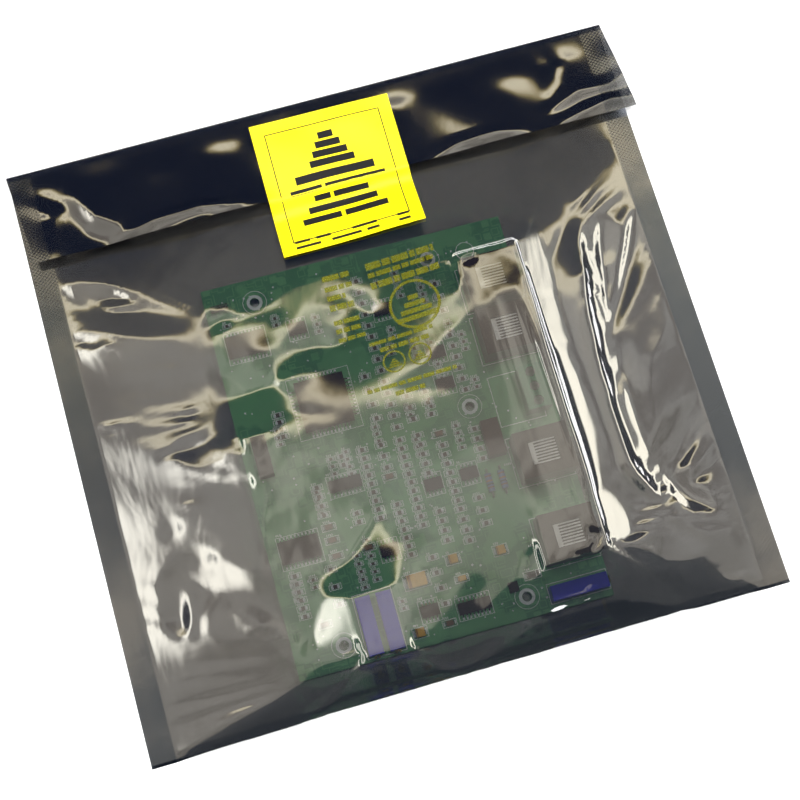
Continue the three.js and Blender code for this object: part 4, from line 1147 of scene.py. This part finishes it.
class BAG_OT_finishes(bpy.types.Operator):
    """Gives the board and every part on it its own finish"""
    bl_idname = "shield_bag.finishes"
    bl_label = "Part finishes"

    def execute(self, context):
        colours = settings().colours
        wear("circuit_board", board_material())
        for name, (half_x, half_y, _) in CHIPS.items():
            wear(name, leaded_material("Chip " + name, name, half_x, half_y, (0.050, 0.030, 0.026)))
        jack = moulded("Jack plastic", (0.050, 0.024, 0.012), 0.34, scale=1100.0, contrast=0.5, bump=0.00003)
        # The contacts' pale plating is their own, but making them near white and barely metallic, bright from
        # every side, is a painted highlight.
        wires = moulded("Plated wires", (0.95, 0.94, 0.88), 0.30, metallic=0.1, scale=2600.0, contrast=0.3)
        brass = moulded("Brass screws", (0.78, 0.56, 0.22), 0.28, metallic=1.0, scale=2200.0, contrast=0.4)
        steel = moulded("Zinc screws", (0.66, 0.67, 0.68), 0.30, metallic=1.0, scale=2200.0, contrast=0.4)
        green, blue = (0.06, 0.30, 0.13), tuple(colours.trimmer)
        terminal = moulded("Terminal plastic", green, 0.40, scale=1000.0, contrast=0.35, bump=0.00003)
        trimmer = moulded("Trimmer plastic", blue, 0.33, scale=1000.0, contrast=0.2, bump=0.00002)
        for letter in "abcd":
            wear("jack_housing_" + letter, jack)
            wear("jack_contacts_" + letter, wires)
        wear("terminal_block", terminal)
        for i in (1, 2, 3):
            wear("terminal_screw_" + str(i), steel)
        for letter in "abc":
            wear("trimmer_body_" + letter, trimmer)
            wear("trimmer_screw_" + letter, brass)
        for name, title, colour, roughness, metallic, scale, contrast in (
            ("edge_header", "Header plastic", (0.045, 0.028, 0.022), 0.42, 0.0, 1400.0, 0.4),
            ("relay", "Relay case", (0.085, 0.045, 0.032), 0.38, 0.0, 1200.0, 0.3),
            ("transistor", "Transistor case", (0.040, 0.024, 0.020), 0.45, 0.0, 1500.0, 0.4),
            ("crystal", "Crystal can", LEAD_COLOUR, 0.24, 1.0, 1500.0, 0.3),
        ):
            wear(name, moulded(title, colour, roughness, metallic, scale, contrast))
        cathode = (0.9, 1.3, (0.6, 0.6, 0.58))
        wear("diode", leaded_material("Diode", "diode", 1.55, 1.0, (0.035, 0.022, 0.018), mark=cathode))
        for i, half in ((1, 3.1), (2, 1.4), (3, 1.3), (4, 1.4), (5, 1.4)):
            name = "tantalum_" + str(i)
            band = (-half + 0.1, -half + 0.7 * half * 0.5, (0.42, 0.16, 0.02))
            orange = tuple(colours.tantalum)
            wear(name, leaded_material("Tantalum " + str(i), name, half, 3.0, orange, mark=band))
        for i in range(1, 9):
            name = "chip_capacitor_" + str(i)
            wear(name, leaded_material("Capacitor " + str(i), name, 1.12, 1.0, (0.26, 0.15, 0.09)))
        for i in (1, 2):
            name = "axial_resistor_" + str(i)
            wear(name, resistor_material("Resistor " + str(i), name))
        return {"FINISHED"}


class BAG_OT_board_details(bpy.types.Operator):
    """Adds the solder, the small parts and the white outlines on the board"""
    bl_idname = "shield_bag.board_details"
    bl_label = "Board details"

    def execute(self, context):
        solder, bodies, lines, joints = Collector(), Collector(), Collector(), Collector()
        rng = np.random.default_rng(5)

        def reference(x, y):
            """A part's number, as three or four plain strokes."""
            for i in range(int(rng.integers(2, 5))):
                lines.block(x + 0.62 * i, x + 0.62 * i + 0.36, y, y + 0.75, 0.0, 0.02)

        for x, y in passive_places():
            for side in (-1, 1):
                x0, x1 = sorted((x + side * 0.62, x + side * 1.06))
                solder.block(x0, x1, y - 0.66, y + 0.66, 0.0, 0.66, 0.08)
                x0, x1 = sorted((x + side * 1.0, x + side * 1.5))
                solder.block(x0, x1, y - 0.62, y + 0.62, 0.0, 0.24, 0.1)
            lines.frame(x - 2.15, x + 2.15, y - 1.05, y + 1.05, 0.25, 0.0, 0.02)
            reference(x - 1.6, y + 1.15)
        for x, y in small_places():
            bodies.block(x - 0.5, x + 0.5, y - 0.42, y + 0.42, 0.02, 0.45, 0.05)
            for side in (-1, 1):
                x0, x1 = sorted((x + side * 0.45, x + side * 1.15))
                solder.block(x0, x1, y - 0.45, y + 0.45, 0.0, 0.42, 0.12)
            lines.frame(x - 1.6, x + 1.6, y - 0.85, y + 0.85, 0.22, 0.0, 0.02)
            reference(x - 1.2, y + 0.95)
        for name, (half_x, half_y, leads) in CHIPS.items():
            mx, my = middle_on_board(name)
            span = (leads - 1) * 1.27
            reach = 1.6 if name == "main_chip" else 1.1
            for i in range(leads):
                at = -span / 2 + 1.27 * i
                for side in (-1, 1):
                    y0, y1 = sorted((my + side * (half_y + reach - 0.5), my + side * (half_y + reach + 0.5)))
                    solder.block(mx + at - 0.32, mx + at + 0.32, y0, y1, 0.0, 0.16, 0.06)
                    if name == "main_chip":
                        pad = mx + side * (half_x + reach)
                        x0, x1 = pad - 0.5, pad + 0.5
                        solder.block(x0, x1, my + at - 0.32, my + at + 0.32, 0.0, 0.16, 0.06)
            rim = reach + 0.9
            side_rim = rim if name == "main_chip" else 0.5
            lines.frame(mx - half_x - side_rim, mx + half_x + side_rim, my - half_y - rim, my + half_y + rim,
                        0.25, 0.0, 0.02)
            reference(mx - half_x, my + half_y + rim + 0.3)
        for name in ("tantalum_1", "tantalum_2", "tantalum_3", "tantalum_4", "tantalum_5", "diode",
                     *("chip_capacitor_" + str(i) for i in range(1, 9))):
            low, high = box_mm(name)
            mx, my = middle_on_board(name)
            hx, hy = (high[0] - low[0]) / 2, (high[1] - low[1]) / 2
            for side in (-1, 1):
                x0, x1 = sorted((mx + side * (hx - 0.1), mx + side * (hx + 0.5)))
                solder.block(x0, x1, my - hy * 0.8, my + hy * 0.8, 0.0, 0.5, 0.18)
            lines.frame(mx - hx - 0.9, mx + hx + 0.9, my - hy - 0.5, my + hy + 0.5, 0.25, 0.0, 0.02)
            reference(mx - hx, my + hy + 0.7)
        # Outlines round the jacks, the terminal block and the trimmers.
        for y0, y1 in ((105.2, 122.0), (86.3, 104.0), (42.2, 59.9), (13.5, 31.6)):
            lines.frame(86.9, 107.0, y0, y1, 0.28, 0.0, 0.02)
            lines.block(94.0, 94.2, y0, y1, 0.0, 0.02)
            reference(84.4, (y0 + y1) / 2)
        lines.frame(87.0, 103.2, 64.0, 82.0, 0.28, 0.0, 0.02)
        lines.frame(23.2, 36.6, 0.8, 22.4, 0.28, 0.0, 0.02)
        lines.frame(86.2, 107.0, 2.2, 9.2, 0.28, 0.0, 0.02)
        lines.ring(92.4, 128.0, 3.0, 3.25, 0.0, 0.02)
        for across, up in HOLES:
            x, y = hundredths(across, up)
            solder.ring(x, y, 1.66, 2.75, 0.0, 0.04)
            lines.ring(x, y, 4.0, 4.2, 0.0, 0.02)
        for x, y in ((92.6, 3.4), (5.6, 76.8), (5.6, 73.0)):
            lines.ring(x, y, 0.5, 0.65, 0.0, 0.02, sides=12)
        # Small plated holes between the parts, and bare pads where nothing is fitted.
        for _ in range(260):
            x, y = rng.uniform(3, 104), rng.uniform(3, 134)
            solder.disc(x, y, float(rng.uniform(0.26, 0.42)), 0.0, 0.05, sides=8, crown=0.02)
        # Solder joints below: round each tail, and where small wires come through.
        tails = [(*hundredths(88, up), 8, 1.326) for up in JACK_ROWS]
        tails += [(*hundredths(94, 53.5), 3, 5.08)]
        tails += [(*hundredths(across, 8.3), 3, 7.0) for across in (24.6, 31.2)]
        under = BOARD_UNDERSIDE - BOARD_TOP
        for x, y, count, pitch in tails:
            for i in range(count):
                ty = y + (i - (count - 1) / 2) * pitch
                joints.disc(x, ty, 0.62, under - 0.05, under, sides=12)
                joints.disc(x, ty, 0.46, under - 0.7, under - 0.04, sides=12)
        for _ in range(300):
            x, y = rng.uniform(3, 104), rng.uniform(3, 134)
            joints.disc(x, y, float(rng.uniform(0.26, 0.45)), under - 0.08, under, sides=8)
        # The solder's pale colour is its own, but making it near white and barely metallic, bright from every
        # side, is a painted glint.
        glint_white, brown = (0.93, 0.94, 0.95), (0.20, 0.14, 0.11)
        solder_painted_glints = moulded("Solder", glint_white, 0.34, metallic=0.15, scale=3000.0, contrast=0.5, bump=0.00004)
        silk = moulded("White outlines", (0.95, 0.97, 0.92), 0.6, scale=2600.0, contrast=0.2, bump=0.00001)
        ceramic = moulded("Small ceramics", brown, 0.45, scale=2600.0, contrast=0.4, bump=0.00002)
        solder.build("solder", solder_painted_glints, "steel")
        joints.build("solder_joints", solder_painted_glints, "steel")
        bodies.build("small_parts", ceramic, "capacitor")
        lines.build("board_outlines", silk, "board")
        return {"FINISHED"}


# The stage

def world_light(look):
    """A studio seen in the film: grey overhead, a dark band beyond the bag and bright panels round it."""
    world = bpy.data.worlds.new("Studio")
    world.use_nodes = True
    tree = world.node_tree
    tree.nodes.clear()
    place = node(tree, "ShaderNodeTexCoord")
    aim = node(tree, "ShaderNodeVectorMath", operation="NORMALIZE")
    link(tree, place.outputs["Generated"], aim.inputs[0])
    apart = node(tree, "ShaderNodeSeparateXYZ")
    link(tree, aim.outputs[0], apart.inputs[0])
    shift = math_node(tree, "MULTIPLY_ADD", noise(tree, aim.outputs[0], 3.0), 0.14, -0.07)
    y = math_node(tree, "ADD", apart.outputs["Y"], shift)
    x = math_node(tree, "ADD", apart.outputs["X"], shift)
    navy, slate = (0.010, 0.014, 0.030), (0.030, 0.036, 0.046)
    ceiling, cream = (0.42, 0.395, 0.345), (1.0, 0.90, 0.66)
    olive, pale = (0.30, 0.22, 0.04), (0.60, 0.58, 0.52)

    def span(value, start, end, soft):
        """1 between start and end, and 0 outside."""
        rise = smooth_step(tree, value, start, start + soft)
        return math_node(tree, "MULTIPLY", rise, smooth_step(tree, value, end + soft, end))

    colour = mix_colour(tree, smooth_step(tree, y, 0.955, 0.99), navy, pale)
    colour = mix_colour(tree, smooth_step(tree, y, -0.14, -0.30), colour, slate)
    # The ceiling has darker things on it, fades right and below, and has a bright panel at the left.
    clutter = noise(tree, aim.outputs[0], 5.5, 3.0, 0.6)
    dim = math_node(tree, "MULTIPLY", smooth_step(tree, clutter, 0.50, 0.60), 0.75)
    above = mix_colour(tree, smooth_step(tree, x, 0.0, -0.22), ceiling, (0.27, 0.255, 0.23))
    above = mix_colour(tree, smooth_step(tree, x, 0.30, 0.66), above, (0.30, 0.29, 0.27))
    above = mix_colour(tree, dim, above, (0.12, 0.105, 0.095))
    lower = math_node(tree, "MULTIPLY", smooth_step(tree, y, 0.16, -0.10), 0.5)
    above = mix_colour(tree, lower, above, (0.15, 0.14, 0.12))
    brighter = smooth_step(tree, x, -0.42, -0.50)
    above = mix_colour(tree, brighter, above, tuple(look.softbox * c for c in (0.80, 0.77, 0.68)))
    overhead = math_node(tree, "MULTIPLY", span(y, -0.24, 0.30, 0.04), span(x, -0.56, 0.78, 0.05))
    rim = math_node(tree, "MULTIPLY", span(y, 0.285, 0.325, 0.02), span(x, -0.55, 0.76, 0.05))
    outer_rim = math_node(tree, "MULTIPLY", span(y, 0.325, 0.343, 0.015), span(x, -0.55, 0.76, 0.05))
    colour = mix_colour(tree, overhead, colour, above)
    colour = mix_colour(tree, outer_rim, colour, olive)
    colour = mix_colour(tree, rim, colour, cream)
    panel = math_node(tree, "MULTIPLY", span(x, -0.90, -0.76, 0.05), span(y, -0.60, 0.25, 0.08))
    colour = mix_colour(tree, panel, colour, tuple(look.softbox * c for c in (0.40, 0.39, 0.35)))
    strip = math_node(tree, "MULTIPLY", span(x, 0.80, 0.88, 0.03), span(y, -0.40, 0.60, 0.08))
    colour = mix_colour(tree, strip, colour, tuple(look.softbox * c * 0.8 for c in (1.0, 0.95, 0.8)))
    background = node(tree, "ShaderNodeBackground")
    link(tree, colour, background.inputs["Color"])
    background.inputs["Strength"].default_value = 1.0
    out = node(tree, "ShaderNodeOutputWorld")
    link(tree, background.outputs[0], out.inputs["Surface"])
    return world


# The camera's right, up and back directions, and its place in metres.
CAMERA_AXES = ((0.96036, -0.27827, 0.01672), (0.26679, 0.93483, 0.23435), (-0.08084, -0.2206, 0.97201))
CAMERA_PLACE = (-0.04055, -0.01884, 0.50569)
FLOOR_REACH = 3.0
FLOOR_DROP = 0.0002
# Lamps: name, place, size and power.
LAMPS = (
    ("overhead", (0.1, 0.35, 1.3), 0.9, 30.0),
    ("left_panel", (-1.1, 0.0, 0.8), 0.7, 12.0),
    ("right_panel", (1.1, 0.2, 0.8), 0.7, 12.0),
)


class BAG_OT_stage(bpy.types.Operator):
    """Sets the camera, the floor and the light"""
    bl_idname = "shield_bag.stage"
    bl_label = "Stage"

    def execute(self, context):
        scene = context.scene
        look = settings().stage
        camera = bpy.data.cameras.new("camera")
        camera.lens = look.lens
        camera.sensor_width = 36.0
        camera.clip_start = 0.01
        camera.clip_end = 10.0
        holder = bpy.data.objects.new("camera", camera)
        turn = Matrix(CAMERA_AXES).transposed().to_4x4()
        turn.translation = Vector(CAMERA_PLACE)
        scene.collection.objects.link(holder)
        holder.matrix_world = turn
        scene.camera = holder
        scene.world = world_light(look)
        scene.cycles.transparent_max_bounces = 24
        scene.view_settings.view_transform = "Standard"
        material, tree, shader = new_material("Pale floor")
        shader.inputs["Base Color"].default_value = (look.floor, look.floor, look.floor, 1)
        shader.inputs["Roughness"].default_value = 0.7
        shader.inputs["Specular IOR Level"].default_value = 0.1
        mesh = bpy.data.meshes.new("floor")
        signs = ((-1, -1), (1, -1), (1, 1), (-1, 1))
        corners = [(x * FLOOR_REACH, y * FLOOR_REACH, -FLOOR_DROP) for x, y in signs]
        mesh.from_pydata(corners, [], [(0, 1, 2, 3)])
        mesh.materials.append(material)
        floor = bpy.data.objects.new("floor", mesh)
        scene.collection.objects.link(floor)
        for name, place, size, power in LAMPS:
            light = bpy.data.lights.new(name, "AREA")
            light.size = size
            light.energy = power
            lamp = bpy.data.objects.new(name, light)
            scene.collection.objects.link(lamp)
            lamp.location = place
            lamp.rotation_euler = (Vector((0, 0.1, 0)) - Vector(place)).to_track_quat("-Z", "Y").to_euler()
            lamp.visible_glossy = False
        return {"FINISHED"}


PIECES = (BAG_OT_stage, BAG_OT_finishes, BAG_OT_board_details, BAG_OT_film, BAG_OT_print, BAG_OT_label)


class BAG_PT_panel(bpy.types.Panel):
    """Lists the pieces of the bag"""
    bl_label = "Shielding bag"
    bl_idname = "BAG_PT_panel"
    bl_space_type = "VIEW_3D"
    bl_region_type = "UI"
    bl_category = "Shielding bag"

    def draw(self, context):
        for piece in PIECES:
            self.layout.operator(piece.bl_idname)


CLASSES = (BagSizes, FilmLook, PartColours, StageLook, ShieldBag, *PIECES, BAG_PT_panel)


def register():
    for item in CLASSES:
        bpy.utils.register_class(item)
    bpy.types.Scene.shield_bag = PointerProperty(type=ShieldBag)


def unregister():
    del bpy.types.Scene.shield_bag
    for item in reversed(CLASSES):
        bpy.utils.unregister_class(item)


def main():
    register()
    for piece in PIECES:
        group, name = piece.bl_idname.split(".")
        if getattr(getattr(bpy.ops, group), name)() != {"FINISHED"}:
            raise RuntimeError(piece.bl_label + " was not made")


if __name__ == "__main__":
    main()
